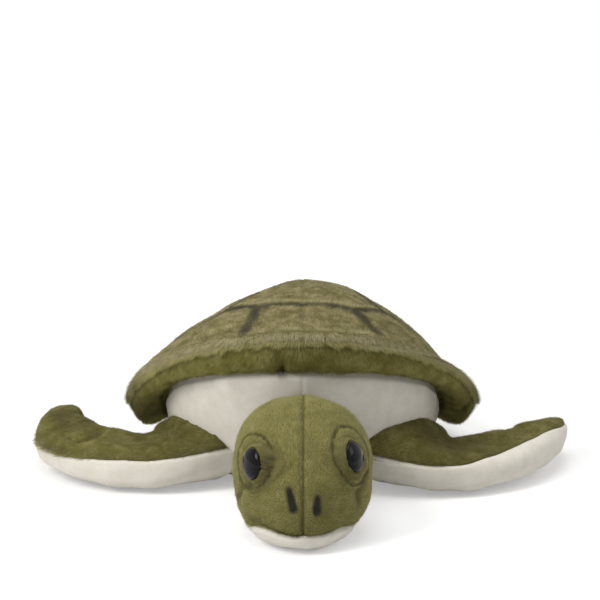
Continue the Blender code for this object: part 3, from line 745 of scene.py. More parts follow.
# The rolled rim: gathers along both seams, fewer at its sides, where it is puffed up instead
down_rim = np.clip((torso.row - SHELL_ROW) / (HEM_ROW - SHELL_ROW), 0.0, 1.0)
at_sides = np.sin(torso.angle) ** 8
gathers = round_waves(torso.angle, 0.0130, 12) + 0.5 * round_waves(torso.angle, 0.0060, 13)
gathers = gathers * (1.0 - 0.7 * at_sides)
offset += on_rim * (-0.0012 + gathers * (0.0003 + 0.0006 * np.abs(2.0 * down_rim - 1.0) ** 2))
offset -= 0.0026 * on_rim * hump(from_notch, 0.0013) * ease(down_rim * 1.3)
offset += 0.0012 * hump(from_hem, 0.0015) * hump(from_notch, 0.0030)
offset -= 0.0022 * on_rim * hump(from_fold - 0.004 * down_rim, 0.0018) * ease(down_rim * 2.0)
offset += 0.0014 * on_rim * np.sin(math.pi * down_rim) * at_sides
offset -= 0.0020 * hump(from_hem, 0.0015)
# Chest and belly: a faint centre seam, and soft folds where the chest is sewn under the rim
height = torso.points[..., 2]
pulls = round_waves(torso.angle, 0.0110, 14, 0.075)
offset += on_chest * (0.0004 * waves(torso.points, 0.028, 15) + 0.0007 * pulls * hump(from_hem, 0.010))
offset -= 0.00025 * (on_chest | on_base) * hump(from_middle_seam, 0.0012) * ease(height / 0.004)
offset -= 0.0007 * hump(from_belly_seam, 0.0010) * ease(height / 0.0015)
torso.push(np.where(on_base, np.minimum(offset, 0.0), offset))


def side_of(angle, side):
    return np.cos(angle - math.pi / 2.0) * side > 0.0


def socket_distance(places, centre, line, radius, half_length):
    """How far outside a ball drawn out along a line each place lies, as a share of the ball's size."""
    along = (places - centre) @ line
    across = np.linalg.norm(places - centre - along[..., None] * line, axis=-1)
    return np.hypot(along / half_length, across / radius)


def outside_roots(places):
    """True outside every ball that a limb or the neck has inside the torso."""
    clear = socket_distance(places, NECK, np.array([1.0, 0.0, 0.0]), NECK_RADIUS, NECK_HALF_WIDTH) > 0.97
    for limb in LIMBS.values():
        sizes = limb["root_radius"], limb["root_half_chord"]
        clear &= socket_distance(places, np.array(limb["root"]), hinge_line(limb), *sizes) > 0.94
    return clear


# Airbrushed scutes, in metres seen from above: the lines in front are placed by the photograph, those behind
# carry the same plan on as such shells have it
SCUTE_LINES = [
    [(-0.0450, -0.0430), (-0.0370, -0.0398), (-0.0281, -0.0470), (-0.0203, -0.0522), (-0.0108, -0.0538),
     (0.0, -0.0550), (0.0120, -0.0555), (0.0235, -0.0552), (0.0300, -0.0506), (0.0390, -0.0440)],
    [(-0.0215, -0.0545), (-0.0240, -0.0640), (-0.0270, -0.0745)],
    [(0.0240, -0.0560), (0.0290, -0.0635), (0.0335, -0.0712)],
    [(0.0390, -0.0447), (0.0330, -0.0360), (0.0276, -0.0200), (0.0300, -0.0060)],
    [(-0.0370, -0.0398), (-0.0290, -0.0340), (-0.0220, -0.0200), (-0.0270, -0.0060)],
    [(0.0390, -0.0447), (0.0457, -0.0455), (0.0540, -0.0440), (0.0660, -0.0400)],
    [(-0.0370, -0.0398), (-0.0450, -0.0430), (-0.0540, -0.0420), (-0.0650, -0.0390)],
    [(-0.0270, -0.0060), (0.0, -0.0030), (0.0300, -0.0060)],
    [(0.0300, -0.0060), (0.0520, -0.0020), (0.0740, 0.0040)],
    [(-0.0270, -0.0060), (-0.0500, -0.0020), (-0.0740, 0.0040)],
    [(0.0300, -0.0060), (0.0250, 0.0170), (0.0270, 0.0330)],
    [(-0.0270, -0.0060), (-0.0240, 0.0170), (-0.0260, 0.0330)],
    [(-0.0260, 0.0330), (0.0, 0.0350), (0.0270, 0.0330)],
    [(0.0270, 0.0330), (0.0470, 0.0400), (0.0660, 0.0460)],
    [(-0.0260, 0.0330), (-0.0460, 0.0400), (-0.0660, 0.0460)],
    [(0.0270, 0.0330), (0.0190, 0.0540), (0.0170, 0.0660)],
    [(-0.0260, 0.0330), (-0.0190, 0.0540), (-0.0170, 0.0660)],
    [(-0.0170, 0.0660), (0.0, 0.0690), (0.0170, 0.0660)],
    [(0.0170, 0.0660), (0.0300, 0.0760), (0.0380, 0.0840)],
    [(-0.0170, 0.0660), (-0.0300, 0.0760), (-0.0380, 0.0840)],
]


def scute_dye(places):
    """The airbrush's soft lines: about 2 mm wide, of uneven weight, and broken in places."""
    dye = np.zeros(len(places))
    weight = 0.96 + 0.20 * waves(places, 0.016, 21)
    for index, line in enumerate(SCUTE_LINES):
        width = 0.0021 + (0.0010 if index in (1, 2) else 0.0)
        blur = width * (1.0 + 0.30 * waves(places, 0.012, 22 + index))
        dye = np.maximum(dye, np.exp(-((line_distance(places, line) / blur) ** 4)) * weight)
    return np.clip(dye, 0.0, 0.95)


def fringe_waves(roots):
    """How unevenly the fringe hangs along the shell's edge, the same for the shell and the rim."""
    return round_waves(roots["angle"], 0.006, 34)


def shell_paint(roots):
    """The scutes' lines, paler above the front one; the ridge's dark seam; the tall fringe, paled by painted
    highlight.
    """
    place = roots["points"]
    width = 1.4 * (0.26 + 0.05 * fringe_waves(roots))
    edge = np.clip(1.0 - (SHELL_ROW - roots["row"]) / width, 0.0, 1.0)
    fringe = ease(edge * 1.8)
    # The fringe is paled by painted highlight where the pile stands over the edge; the waves are paler
    # patches
    pale = 0.96 * fringe + 0.20 * np.maximum(waves(place, 0.011, 31), 0.0)
    paler_line = [(x, y + 0.0048) for x, y in SCUTE_LINES[0]]
    pale = np.clip(np.maximum(pale, 0.50 * hump(line_distance(place, paler_line), 0.0017)), 0.0, 1.0)
    ridge = hump(place[:, 0], 0.0009)
    dye = np.maximum(scute_dye(place) * (1.0 - 0.7 * fringe), 0.22 * ridge)
    return dye, pale, (1.0 + 0.80 * edge) * (1.0 - 0.15 * ridge)


def rim_paint(roots):
    """The shell's fringe over the top of the rim, paled by painted highlight; painted shade right under it
    and in the notch; clouds of dye, heavier lower down.
    """
    place = roots["points"]
    down = (roots["row"] - SHELL_ROW) / (HEM_ROW - SHELL_ROW)
    low = 0.095 + 0.030 * fringe_waves(roots)
    # The shell's fringe over the rim's top, paled by painted highlight
    fringe = ease((low - down) / 0.045 + 0.5)
    dye = 0.22 * np.clip(waves(place, 0.020, 33), 0.0, 1.0) * down
    # Painted shade on the rim's top under the overhanging fringe, and a band of it right under the fringe
    dye = dye + 0.20 * np.clip(1.0 - 1.6 * down, 0.0, 1.0)
    dye = np.maximum(dye, 0.62 * hump(down - low - 0.045, 0.035)) * (1.0 - fringe)
    # Painted shade in the notch, where the rim's two ends meet
    across = np.abs(place[:, 0] - NOTCH_X - 0.0006 * waves(place, 0.006, 35))
    notch = ease((down - 0.15) / 0.4) * hump(across, 0.0004 + 0.0024 * np.maximum(down, 0.0) ** 5)
    return np.maximum(dye, 0.9 * notch), 0.90 * fringe, (1.0 + 0.25 * fringe) * (1.0 - 0.4 * notch)


def shell_nap(roots):
    """Back over the dome and a little outwards, but outwards and down along the edge."""
    away = unit(roots["points"] - SHELL_TOP)
    back = unit(np.array([0.0, 1.0, 0.1]) + away * np.array([0.5, 0.0, 0.0]))
    edge = ease((roots["row"] - SHELL_ROW + 0.34 + 0.04 * fringe_waves(roots)) / 0.12)[:, None]
    return back * (1.0 - edge) + (away - UP * 0.9) * edge


def bag_flow(roots):
    """Places laid out flat by angle and row, drawn together along the nap, so that noise on them streaks."""
    return stack(roots["angle"] * 0.085, roots["row"] * 0.0055, 0.0)


def rim_nap(roots):
    """Down, and a little away from the middle line."""
    return -UP + 0.35 * unit(roots["points"] * np.array([1.0, 0.3, 0.0]))


def thinned_at_roots(cloth):
    return thinned(cloth, outside_roots(cloth["points"]))


notch = torso_points(np.array([NOTCH_ANGLE]), np.array([HEM_ROW]))[0]
for side, sign in SIDES.items():
    shell = torso.panel(lambda row, angle: (row < SHELL_ROW) & side_of(angle, sign))
    add_piece(
        f"shell_cloth_{side}", shell, "backing", "torso", "shell_plush", [f"shell_panel_{side}"],
        dye=scute_dye(shell["points"]),
    )
    rim = torso.panel(lambda row, angle: (row > SHELL_ROW) & (row < HEM_ROW) & side_of(angle, sign))
    add_piece(f"rim_cloth_{side}", rim, "backing", "torso", "green_plush", [f"shell_rim_{side}"], dye=0.0)
    chest = torso.panel(lambda row, angle: (row > HEM_ROW) & (row < BELLY_SEAM_ROW) & side_of(angle, sign))
    chest = thinned_at_roots(chest)
    add_piece(
        f"chest_cloth_{side}", chest, "velour", "torso", "cream_velour", [f"chest_panel_{side}"],
        # Painted shade on the chest, in the hollow under the rim's notch
        soil=0.60 * ease((0.0032 - length_of(chest["points"] - notch)[:, 0]) / 0.0024),
    )
    add_pile(
        f"shell_pile_{side}", shell, "shell_pile", "torso", "shell_plush", 100 + sign, shell_nap, shell_paint,
        bag_flow, spacing=0.00037, height=0.0025, width=0.00026, lay=16,
    )
    add_pile(
        f"rim_pile_{side}", rim, "green_pile", "torso", "green_plush", 110 + sign, rim_nap, rim_paint,
        bag_flow, spacing=0.00037, height=0.0032, width=0.00026, lay=24,
    )
base = thinned_at_roots(torso.panel(lambda row, angle: row > BELLY_SEAM_ROW))
add_piece("belly_cloth", base, "velour", "torso", "cream_velour", ["belly_panel"], soil=0.0)


# Head

head_angles = with_seams(
    np.linspace(-math.pi, math.pi, 241)[:-1], [math.pi / 2.0, -CHIN_ANGLE, -math.pi + CHIN_ANGLE],
    (0.010, 0.022, 0.038, 0.060),
)
head_rows = np.concatenate([
    np.linspace(0.0, 0.6, 9), np.linspace(0.6, FACE_ROW, 91), np.linspace(FACE_ROW, LAST_HEAD_ROW, 21)
])


def with_low_corner(turn, row):
    """The angles by which the head is drawn, with which the chin seam's right half is pulled lower."""
    pulled = ease((row - 0.3) / 0.8) * (1.0 - ease((row - 3.5) / 1.2))
    return turn - LOW_CORNER * pulled * hump(turn + CHIN_ANGLE, math.radians(45))


def is_chin(angle):
    return np.sin(angle) < -math.sin(CHIN_ANGLE)


def from_chin_seams(bag):
    return np.minimum(bag.from_angle(-CHIN_ANGLE), bag.from_angle(-math.pi + CHIN_ANGLE))


head = Bag(
    lambda turn, row: head_points(with_low_corner(turn, row), row), np.unique(np.round(head_rows, 6)),
    head_angles,
)


def eye_seat(tree, side):
    """The eye's place on the face, and its axis: the face's mean normal round it, turned out a little."""
    sign = SIDES[side]
    level = math.cos(EYE_LIFT)
    out = np.array([sign * math.sin(EYE_TURN) * level, -math.cos(EYE_TURN) * level, math.sin(EYE_LIFT)])
    start = np.array(EYE_PLACES[side]) + out * 0.012
    seat = np.array(tree.ray_cast(start, -out)[0])
    across = unit(np.cross(out, UP))
    lift = np.cross(across, out)
    turns = np.linspace(0.0, 2.0 * math.pi, 16, endpoint=False)
    starts = start + EYE_RADIUS * (np.cos(turns)[:, None] * across + np.sin(turns)[:, None] * lift)
    normals = np.array([tree.ray_cast(spot, -out)[1] for spot in starts])
    x, y, z = normals.sum(axis=0)
    cosine, sine = math.cos(EYE_SQUINT), sign * math.sin(EYE_SQUINT)
    return seat, unit(np.array([cosine * x - sine * y, sine * x + cosine * y, z]))


face = head.panel()
head_tree = BVHTree.FromPolygons(face["points"].tolist(), face["triangles"].tolist())
FACE_AXES = {side: eye_seat(head_tree, side) for side in SIDES}
EYES = {side: (seat, unit(axis - EYE_DROOP[side] * UP)) for side, (seat, axis) in FACE_AXES.items()}


def axis_distance(places, centre, axis):
    """The distance of each place from an axis, and its height over the centre along it."""
    depth = (places - centre) @ axis
    return np.linalg.norm(places - centre - depth[..., None] * axis, axis=-1), depth


def eye_distance(places, side):
    return axis_distance(places, *EYES[side])


def outwards_of(side, axis):
    """Across an axis of that side, level, away from the nose."""
    return unit(np.cross(UP, axis)) * SIDES[side]


def patch_edge_distance(places, side):
    """How far outside the sewn-in patch each place lies: its distance from the axis, less the radius."""
    seat, axis = FACE_AXES[side]
    across = (places - seat) @ outwards_of(side, axis)
    turn = np.degrees(np.arctan2((places - seat) @ unit(UP - axis * axis[2]), across))
    radius = np.interp(turn, PATCH_TURNS, PATCH_RADII[side], period=360.0)
    return axis_distance(places, seat, axis)[0] - radius


# Creases of the cheeks: points on the face, depth and width; and the painted shade in them for each metre of
# depth
CREASE_SHADE = 300.0
CREASES = [
    ([(-0.0236, -0.1492, 0.0283), (-0.0258, -0.1450, 0.0266), (-0.0281, -0.1418, 0.0222),
      (-0.0290, -0.1360, 0.0180)], 0.0026, 0.0021),
    ([(0.0280, -0.1418, 0.0300), (0.0254, -0.1443, 0.0270), (0.0240, -0.1490, 0.0240),
      (0.0243, -0.1480, 0.0200)], 0.0017, 0.0026),
    ([(-0.0225, -0.1525, 0.0128), (-0.0195, -0.1550, 0.0135)], 0.0012, 0.0016),
]
places = head.points
offset = -0.0012 + 0.0005 * waves(places, 0.022, 41) + 0.0002 * waves(places, 0.009, 42)
offset -= 0.0012 * (np.sin(head.angle) > 0.0) * hump(head.from_angle(math.pi / 2.0), 0.0010)
offset -= 0.0014 * hump(from_chin_seams(head), 0.0013) * ease((FACE_ROW - head.row) / 3.0)
drawn = np.zeros_like(places)
for side, (seat, axis) in EYES.items():
    away, depth = eye_distance(places, side)
    near = ease((0.012 + depth) / 0.004)
    uneven = 1.0 + 0.5 * waves(places, 0.0030, 43)
    offset -= near * 0.0009 * uneven * hump(patch_edge_distance(places, side), 0.0008)
    # Round the eye the cloth is drawn up or pressed in to the button's underside, with a soft roll for a lid
    nose_side = ease(0.5 - ((places - seat) @ outwards_of(side, axis)) / 0.008)
    under = -0.0009 + (0.0007 + 0.0011 * nose_side) * hump(away - EYE_RADIUS - 0.0008, 0.0007)
    share = near * (1.0 - ease((away - EYE_RADIUS - 0.0006) / 0.0015))
    offset = offset * (1.0 - share)
    drawn += (share * (under - depth))[..., None] * axis
for line, depth, width in CREASES:
    offset -= depth * hump(line_distance(places, line), width)
# Towards the neck the face's forms die out, and the cloth keeps clear of the ball's hollow
settled = ease((head.row - FACE_ROW + 0.8) / 0.8)
offset = np.where(head.row > FACE_ROW - 0.8, offset * (1.0 - settled) - 0.0006, offset)
offset += 0.0008 * (is_chin(head.angle) & (head.row < FACE_ROW))
head.push(offset)
head.points = head.points + drawn
head.measure()


LIP_LINE = [
    (-0.0230, -0.1510, 0.0127), (-0.0120, -0.1610, 0.0107), (0.0, -0.1648, 0.0096), (0.0064, -0.1638, 0.0093),
    (0.0118, -0.1608, 0.0102), (0.0166, -0.1573, 0.0102), (0.0220, -0.1495, 0.0090),
]
# Seen from the front, from top to bottom: across and up
NOSTRILS = [[(-0.0060, 0.0286), (-0.0050, 0.0254), (-0.0039, 0.0214)], [(0.0061, 0.0254), (0.0056, 0.0202)]]


def head_paint(roots):
    """Airbrushed nostrils and lip line; painted shade in the creases; a painted highlight round each eye;
    shorter pile in the nostrils, at seams and by the eyes.
    """
    place = roots["points"]
    dye, pale, tall = np.zeros(len(place)), np.zeros(len(place)), np.ones(len(place))
    for line in NOSTRILS:
        top, bottom = line[0][1], line[-1][1]
        # What lies behind the face counts as a metre away
        away = line_distance(place[:, [0, 2]], line) + 1.0 * (place[:, 1] > -0.13)
        drop = np.clip((top - place[:, 2]) / (top - bottom), 0.0, 1.0)
        dye = np.maximum(dye, ease(0.5 - (away - 0.0013 - 0.0008 * drop) / 0.0015))
        tall = tall - 0.35 * hump(away, 0.0022)
    dye = np.maximum(dye, 0.75 * hump(line_distance(place, LIP_LINE), 0.0011))
    for side in SIDES:
        away, depth = eye_distance(place, side)
        near = depth > -0.010
        # A painted highlight on the roll of cloth round each eye
        pale = np.maximum(pale, 0.20 * hump(away - 0.0088, 0.0012) * near)
        tall = tall * (1.0 - 0.62 * hump(np.maximum(away - EYE_RADIUS - 0.0008, 0.0), 0.0016) * near)
        wander = 0.0003 * waves(place, 0.0030, 45)
        seam = hump(patch_edge_distance(place, side) + wander, 0.0006) * near
        dye = np.maximum(dye, 0.72 * seam * np.clip(0.75 + 0.6 * waves(place, 0.0036, 43), 0.0, 1.0))
        tall = tall * (1.0 - 0.5 * seam)
    # Painted shade in the creases, darker where they are deeper
    for line, depth, width in CREASES:
        dye = np.maximum(dye, CREASE_SHADE * depth * hump(line_distance(place, line), width * 0.60))
    seam = hump(place[:, 0] - 0.0002, 0.00042) * (np.sin(roots["angle"]) > 0.5)
    dye = np.maximum(dye, 0.50 * seam)
    tall = tall * (1.0 - 0.5 * seam)
    over_lip = hump(roots["from_chin_seam"], 0.0016) * (roots["row"] < 5.0)
    return dye, pale, tall * (1.0 + 0.9 * over_lip)


def head_flow(roots):
    """The front view, drawn together from top to bottom, so that noise on it is streaks down the face."""
    return roots["points"] * np.array([1.0, 0.35, 0.35])


def head_nap(roots):
    """Away from the nose, up over the crown and down to the lip, and outwards from each eye."""
    place = roots["points"]
    lean = unit(place - np.array([0.0, -0.158, 0.0180]))
    for side, (seat, axis) in EYES.items():
        away, depth = eye_distance(place, side)
        outwards = unit(place - seat - depth[:, None] * axis)
        share = (ease((0.0150 - away) / 0.004) * (depth > -0.010))[:, None]
        lean = lean * (1.0 - share) + outwards * 1.2 * share
    return lean


def keep_off_eyes(cloth):
    """The pile's cloth without what lies under the eyes."""
    keep = np.ones(len(cloth["points"]), bool)
    for side in SIDES:
        away, depth = eye_distance(cloth["points"], side)
        keep &= ~((away < EYE_RADIUS - 0.0003) & (depth > -0.006))
    return thinned(cloth, keep)


head.extra = {"from_chin_seam": from_chin_seams(head)}
chin = head.panel(lambda row, angle: is_chin(angle))
add_piece(
    "chin_cloth", chin, "velour", "head", "cream_velour", ["chin_panel"],
    # Painted shadow on the chin, under the pile that overhangs the lip
    soil=0.55 * hump(line_distance(chin["points"], LIP_LINE), 0.0012),
)
for side, sign in SIDES.items():
    half = head.panel(lambda row, angle: ~is_chin(angle) & (np.cos(angle) * sign > 0.0))
    depth = eye_distance(half["points"], side)[1]
    in_patch = (patch_edge_distance(half["points"], side) < 0.0) & (depth > -0.012)
    in_patch = in_patch[half["triangles"]].all(axis=1)
    for part, panel, kept in (("eye_patch", "eye_patch", in_patch), ("head", "head_panel", ~in_patch)):
        name = f"{part}_cloth_{side}"
        cloth = part_of(half, half["triangles"][kept])
        dye = head_paint(cloth)[0]
        add_piece(name, cloth, "backing", "head", "green_plush", [f"{panel}_{side}"], dye=dye)
        furred = keep_off_eyes(cloth)
        add_pile(
            f"{part}_pile_{side}", thinned(furred, furred["row"] < FACE_ROW + 0.9), "head_pile", "head",
            "green_plush", 200 + sign + 10 * len(name), head_nap, head_paint, head_flow,
            spacing=0.00034, height=0.0018, width=0.00022, lay=20, streaks=0.14,
        )


def eye_button(seat, axis, sides=48):
    """A domed cap and its stem, turned about the eye's axis: radii and heights of a profile, then round."""
    across = unit(np.cross(axis, UP))
    lift = np.cross(across, axis)
    bends = np.linspace(0.0, math.pi / 2.0, 15)
    radii = np.concatenate([EYE_RADIUS * np.sin(bends), [EYE_RADIUS - 0.0002, 0.002, 0.002, 0.0]])
    heights = np.concatenate([EYE_DOME * np.cos(bends), [-0.0004, -0.0004, -0.009, -0.009]])
    turns = np.linspace(0.0, 2.0 * math.pi, sides, endpoint=False)
    ring = np.cos(turns)[None, :, None] * across + np.sin(turns)[None, :, None] * lift
    points = seat + radii[:, None, None] * ring + heights[:, None, None] * axis
    quads = grid_quads(len(radii), sides).reshape(-1, 4)
    triangles = np.concatenate([quads[:, [0, 3, 2]], quads[:, [0, 2, 1]]])
    made = closed_part({"points": points.reshape(-1, 3)}, triangles)
    middles = made["points"][made["triangles"]].mean(axis=1)
    return turned_out(made, middles - made["points"].mean(axis=0))


for side in SIDES:
    button = eye_button(*EYES[side])
    add_piece(f"eye_button_{side}", button, "eye", "head", "black_eye_plastic", [f"eye_{side}"])
    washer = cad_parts[f"eye_washer_{side}"].data.materials
    washer.clear()
    washer.append(MATERIALS["washer"])


# Limbs

# Folds and swellings of the tops: points seen from above, depth and width; a swelling's depth is below zero
FOLDS = {
    "front_left_flipper": [
        ([(-0.0980, -0.0400), (-0.1005, -0.0472), (-0.1045, -0.0508), (-0.1090, -0.0512),
          (-0.1129, -0.0474)], 0.0034, 0.0023),
        ([(-0.0820, -0.0300), (-0.0700, -0.0420), (-0.0620, -0.0560), (-0.0565, -0.0635)], 0.0016, 0.0026),
        ([(-0.1160, -0.0180), (-0.1090, -0.0060), (-0.1060, 0.0060)], 0.0010, 0.0022),
        ([(-0.0950, -0.0350), (-0.0850, -0.0370), (-0.0740, -0.0390)], -0.0022, 0.0070),
        ([(-0.1180, 0.0120), (-0.1120, -0.0120), (-0.1050, -0.0300)], -0.0016, 0.0080),
    ],
    "front_right_flipper": [
        ([(0.0660, -0.0400), (0.0800, -0.0420), (0.0930, -0.0400)], -0.0026, 0.0080),
        ([(0.1040, -0.0240), (0.1100, -0.0330), (0.1190, -0.0380)], 0.0012, 0.0024),
    ],
}
# By the share of the way to the tip, the angle at which the leading seam lies where the blade is rolled
SEAM_DRIFT = {
    "front_left_flipper": [
        (0.0, 2.61), (0.10, 2.70), (0.20, 2.63), (0.26, 2.75), (0.36, 2.94), (0.48, 3.03), (0.55, 3.09),
        (1.0, 3.06),
    ],
    "front_right_flipper": [
        (0.0, 2.50), (0.07, 2.63), (0.11, 2.75), (0.14, 2.73), (0.18, 2.60), (0.235, 2.29), (0.33, 2.06),
        (0.42, 1.94), (0.50, 1.94), (0.57, 2.02), (0.63, 2.22), (0.70, 2.50), (0.80, 2.61), (1.0, 2.61),
    ],
}


def with_seam_drift(name, turn, row):
    """The angles by which the bag is drawn, so that its points at the leading seam drift with the seam.

    The seam's angle is the mean of five readings of its table, close to each other along the blade.
    """
    if name not in SEAM_DRIFT:
        return turn
    limb = LIMBS[name]
    seam = limb["leading_seam"]
    shares, levels = zip(*SEAM_DRIFT[name])
    share = (row - limb["root_rows"]) / limb["rows"]
    steps = (-0.03, -0.015, 0.0, 0.015, 0.03)
    drifted = sum(np.interp(share + step, shares, levels) for step in steps) / len(steps)
    above = turn / seam * drifted
    below = math.pi - (math.pi - turn) * (math.pi - drifted) / (math.pi - seam)
    return np.where(turn <= 0.0, turn, np.where(turn < seam, above, below))


def limb_paint(name):
    """Clouds of dye, an airbrushed cloud on the left tip, painted shade in the left flipper's deepest fold
    and beside the head on the right one, and taller pile at both seams, paled by painted highlight.
    """
    fringe = 1.1 if name in FOLDS else 0.4

    def paint(roots):
        place = roots["points"]
        dye = 0.10 * np.clip(waves(place, 0.014, 51), 0.0, 1.0)
        if name == "front_left_flipper":
            tip = [(-0.1050, -0.0310), (-0.1140, -0.0320), (-0.1210, -0.0100)]
            cloud = hump(line_distance(place, tip), 0.0100)
            dye = np.maximum(dye, 0.62 * cloud * np.clip(0.7 + 0.6 * waves(place, 0.010, 52), 0.0, 1.0))
            # Painted shade along the deepest fold
            deepest_fold = FOLDS[name][0][0][:4]
            dye = np.maximum(dye, 0.62 * hump(line_distance(place, deepest_fold), 0.0019))
        if name == "front_right_flipper":
            # Painted shade on the right flipper beside the head
            shade_beside_head = [(0.0620, -0.0620), (0.0800, -0.0560)]
            dye = np.maximum(dye, 0.50 * hump(line_distance(place, shade_beside_head), 0.0110))
        # The seams' paler pile is a painted highlight, where the pile stands
        seam = np.minimum(np.abs(roots["angle"] - LIMBS[name]["leading_seam"]), np.abs(roots["angle"]))
        return np.clip(dye, 0.0, 1.0), 0.55 * hump(seam, 0.16), 1.0 + fringe * hump(seam, 0.09)

    return paint


def limb_nap(limb):
    """Along the blade to its tip, turning outwards near the seams."""

    def nap(roots):
        along = blade_spine(limb, blade_share(limb, roots["row"]))[1]
        along = unit(stack(along[:, 0], along[:, 1], 0.0))
        seam = ease((np.abs(np.cos(roots["angle"])) - 0.45) / 0.5)[:, None]
        return along * (1.0 - 0.5 * seam) + 0.9 * seam * (roots["normals"] * np.array([1.0, 1.0, 0.0]) - UP)

    return nap


for name, limb in LIMBS.items():
    body = "torso" if name == "tail" else name
    is_front = name.startswith("front")
    seam = limb["leading_seam"]
    last_row = limb["root_rows"] + limb["rows"]
    seams = [0.0, seam] if seam < math.pi else [0.0]
    angles = np.linspace(-math.pi, math.pi, 193 if is_front else 97)[:-1]
    angles = with_seams(angles, seams, (0.02, 0.045, 0.08, 0.12))
    angles = angles[(angles >= -math.pi) & (angles < math.pi - 1e-4)]
    rows = np.linspace(0.0, last_row, 121 if is_front else 61)
    bag = Bag(lambda turn, row: limb_points(limb, with_seam_drift(name, turn, row), row), rows, angles)
    is_top = (bag.angle > 0.0) & (bag.angle < seam)
    offset = np.where(is_top, -0.0010, -0.0001)
    offset += (0.0005 if is_front else 0.0002) * waves(bag.points, 0.020, 61)
    offset -= 0.0011 * hump(np.minimum(bag.from_angle(0.0), bag.from_angle(seam)), 0.0010)
    for line, depth, width in FOLDS.get(name, []):
        offset -= depth * is_top * hump(line_distance(bag.points, line), width)
    # The forms die out inside the torso and at the tip
    offset = offset * ease((bag.row - limb["root_rows"] + 0.6) / 0.8) - 0.0002
    bag.push(offset * ease((last_row - bag.row) / 0.25 + 0.3))
    top = bag.panel(lambda row, angle: (angle > 0.0) & (angle < seam))
    under = bag.panel(lambda row, angle: ~((angle > 0.0) & (angle < seam)))
    add_piece(f"{name}_top_cloth", top, "backing", body, "green_plush", [f"{name}_top"], dye=0.0)
    add_piece(f"{name}_under_cloth", under, "velour", body, "cream_velour", [f"{name}_underside"], soil=0.0)
    furred = thinned(top, top["row"] > limb["root_rows"] - 0.8)
    add_pile(
        f"{name}_pile", furred, "flipper_pile", body, "green_plush", 300 + len(name) + limb["side"],
        limb_nap(limb), limb_paint(name),
        spacing=0.00036 if is_front else 0.00050, height=0.0022, width=0.00026, lay=20,
    )


# Stuffing: each bag's own form, inside the cloth, and finer than the solid that it stands for


def add_filling(name, place, last_row, count_rows, angles, body):
    """Loose fibre that fills one bag, and stands for the stuffing of the same name."""
    bag = Bag(place, np.linspace(0.0, last_row, count_rows), angles)
    deep = np.full(bag.row.shape, 0.0036)
    if name == "torso":
        deep += 0.0040 * hump(bag.row - HEM_ROW, 0.8)
    if name.startswith("front"):
        deep += 0.0016
    bag.points = bag.points - bag.normals * deep[..., None]
    bag.points[..., 2] = np.maximum(bag.points[..., 2], 0.0030)
    bag.measure()
    piece = add_piece(f"{name}_filling", bag.panel(), "filling", body, "fibre_stuffing", [f"{name}_stuffing"])


even_angles = np.linspace(-math.pi, math.pi, 61)[:-1]
add_filling("torso", torso_points, LAST_TORSO_ROW, 53, even_angles, "torso")
add_filling("head", head_points, LAST_HEAD_ROW, 49, even_angles, "head")
for name, limb in LIMBS.items():
    add_filling(
        name, lambda turn, row: limb_points(limb, turn, row), limb["root_rows"] + limb["rows"] - 0.4, 34,
        even_angles[::2], "torso" if name == "tail" else name,
    )


# Studio


def add_plane(name, half_width, height):
    mesh = bpy.data.meshes.new(name)
    corners = [(x * half_width, y * half_width, height) for x, y in ((-1, -1), (1, -1), (1, 1), (-1, 1))]
    mesh.from_pydata(corners, [], [(0, 1, 2, 3)])
    plane = bpy.data.objects.new(name, mesh)
    bpy.context.scene.collection.objects.link(plane)
    return plane


def seen_by_eye(tree):
    """1 for rays from the camera and for those that are mirrored or pass through something, 0 for others."""
    path = add_node(tree, "ShaderNodeLightPath").outputs
    seen = math_node(tree, "ADD", path["Is Camera Ray"], path["Is Glossy Ray"])
    return math_node(tree, "ADD", seen, path["Is Transmission Ray"])


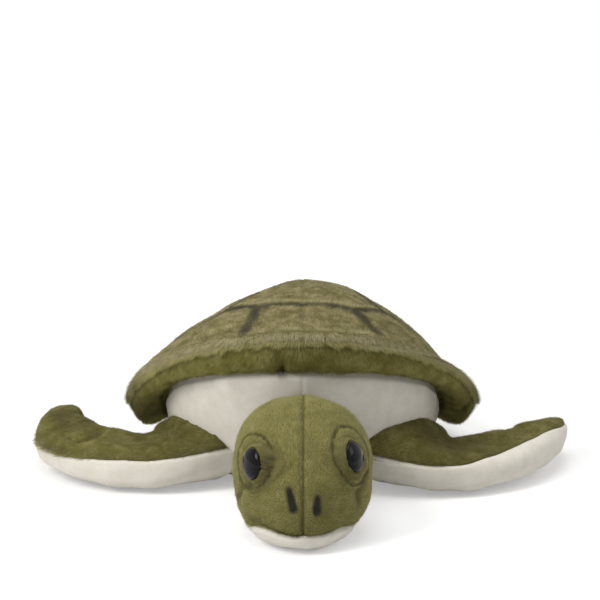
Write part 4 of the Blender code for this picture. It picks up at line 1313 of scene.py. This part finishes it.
def floor_material():
    """Matt white card. To the camera and in reflections it adds light of its own, more away from the toy."""
    material, tree = new_material("white_card")
    tree.nodes.clear()
    card = add_node(tree, "ShaderNodeBsdfDiffuse", values={"Color": (0.80, 0.80, 0.80, 1.0)})
    place = add_node(tree, "ShaderNodeTexCoord").outputs["Object"]
    away = add_node(tree, "ShaderNodeVectorMath", {0: place}, operation="LENGTH").outputs["Value"]
    level = spread(tree, away, 0.20, 0.50, 0.34, 0.90)
    glow = math_node(tree, "MULTIPLY", seen_by_eye(tree), level)
    lit = add_node(tree, "ShaderNodeEmission", {"Strength": glow})
    both = add_node(tree, "ShaderNodeAddShader", {0: card.outputs[0], 1: lit.outputs[0]})
    add_node(tree, "ShaderNodeOutputMaterial", {"Surface": both.outputs[0]})
    return material


floor = add_plane("floor", 0.9, 0.0)
floor.data.materials.append(floor_material())

# A white room that lights the toy about a quarter as strongly as it shows behind it
world = bpy.data.worlds.new("studio")
bpy.context.scene.world = world
world.use_nodes = True
tree = world.node_tree
tree.nodes.clear()
as_light, as_seen = 0.24, 1.0
strength = add_node(tree, "ShaderNodeMix", {0: seen_by_eye(tree)}, {2: as_light, 3: as_seen})
white = {"Color": (1.0, 1.0, 1.0, 1.0)}
room = add_node(tree, "ShaderNodeBackground", {"Strength": strength.outputs[0]}, white)
add_node(tree, "ShaderNodeOutputWorld", {"Surface": room.outputs[0]})


def add_softbox(name, place, target, size, power):
    """A rectangular lamp that faces its target: metres and watts."""
    lamp = bpy.data.lights.new(name, "AREA")
    lamp.shape = "RECTANGLE"
    lamp.size, lamp.size_y = size
    lamp.energy = power
    box = bpy.data.objects.new(name, lamp)
    bpy.context.scene.collection.objects.link(box)
    box.location = place
    aim = np.array(target) - np.array(place)
    box.rotation_euler = Vector(aim).to_track_quat("-Z", "Y").to_euler()


add_softbox("key_softbox", (-0.85, -0.60, 0.85), target=(0.0, 0.0, 0.03), size=(0.5, 0.7), power=10.0)
add_softbox("top_softbox", (0.0, -0.10, 1.40), target=(0.0, 0.0, 0.0), size=(1.0, 1.0), power=9.5)
add_softbox("fill_softbox", (0.95, -0.20, 0.70), target=(0.0, 0.0, 0.03), size=(0.5, 0.6), power=2.4)

camera_data = bpy.data.cameras.new("camera")
camera_data.lens = 144.0
camera_data.sensor_width = 36.0
camera_data.clip_start, camera_data.clip_end = 0.05, 60.0
camera = bpy.data.objects.new("camera", camera_data)
bpy.context.scene.collection.objects.link(camera)
camera.location = (-0.0013, -1.1682, 0.3382)
camera.rotation_euler = (math.radians(77.5), 0.0, 0.0)
bpy.context.scene.camera = camera
bpy.context.scene.view_settings.view_transform = "Standard"
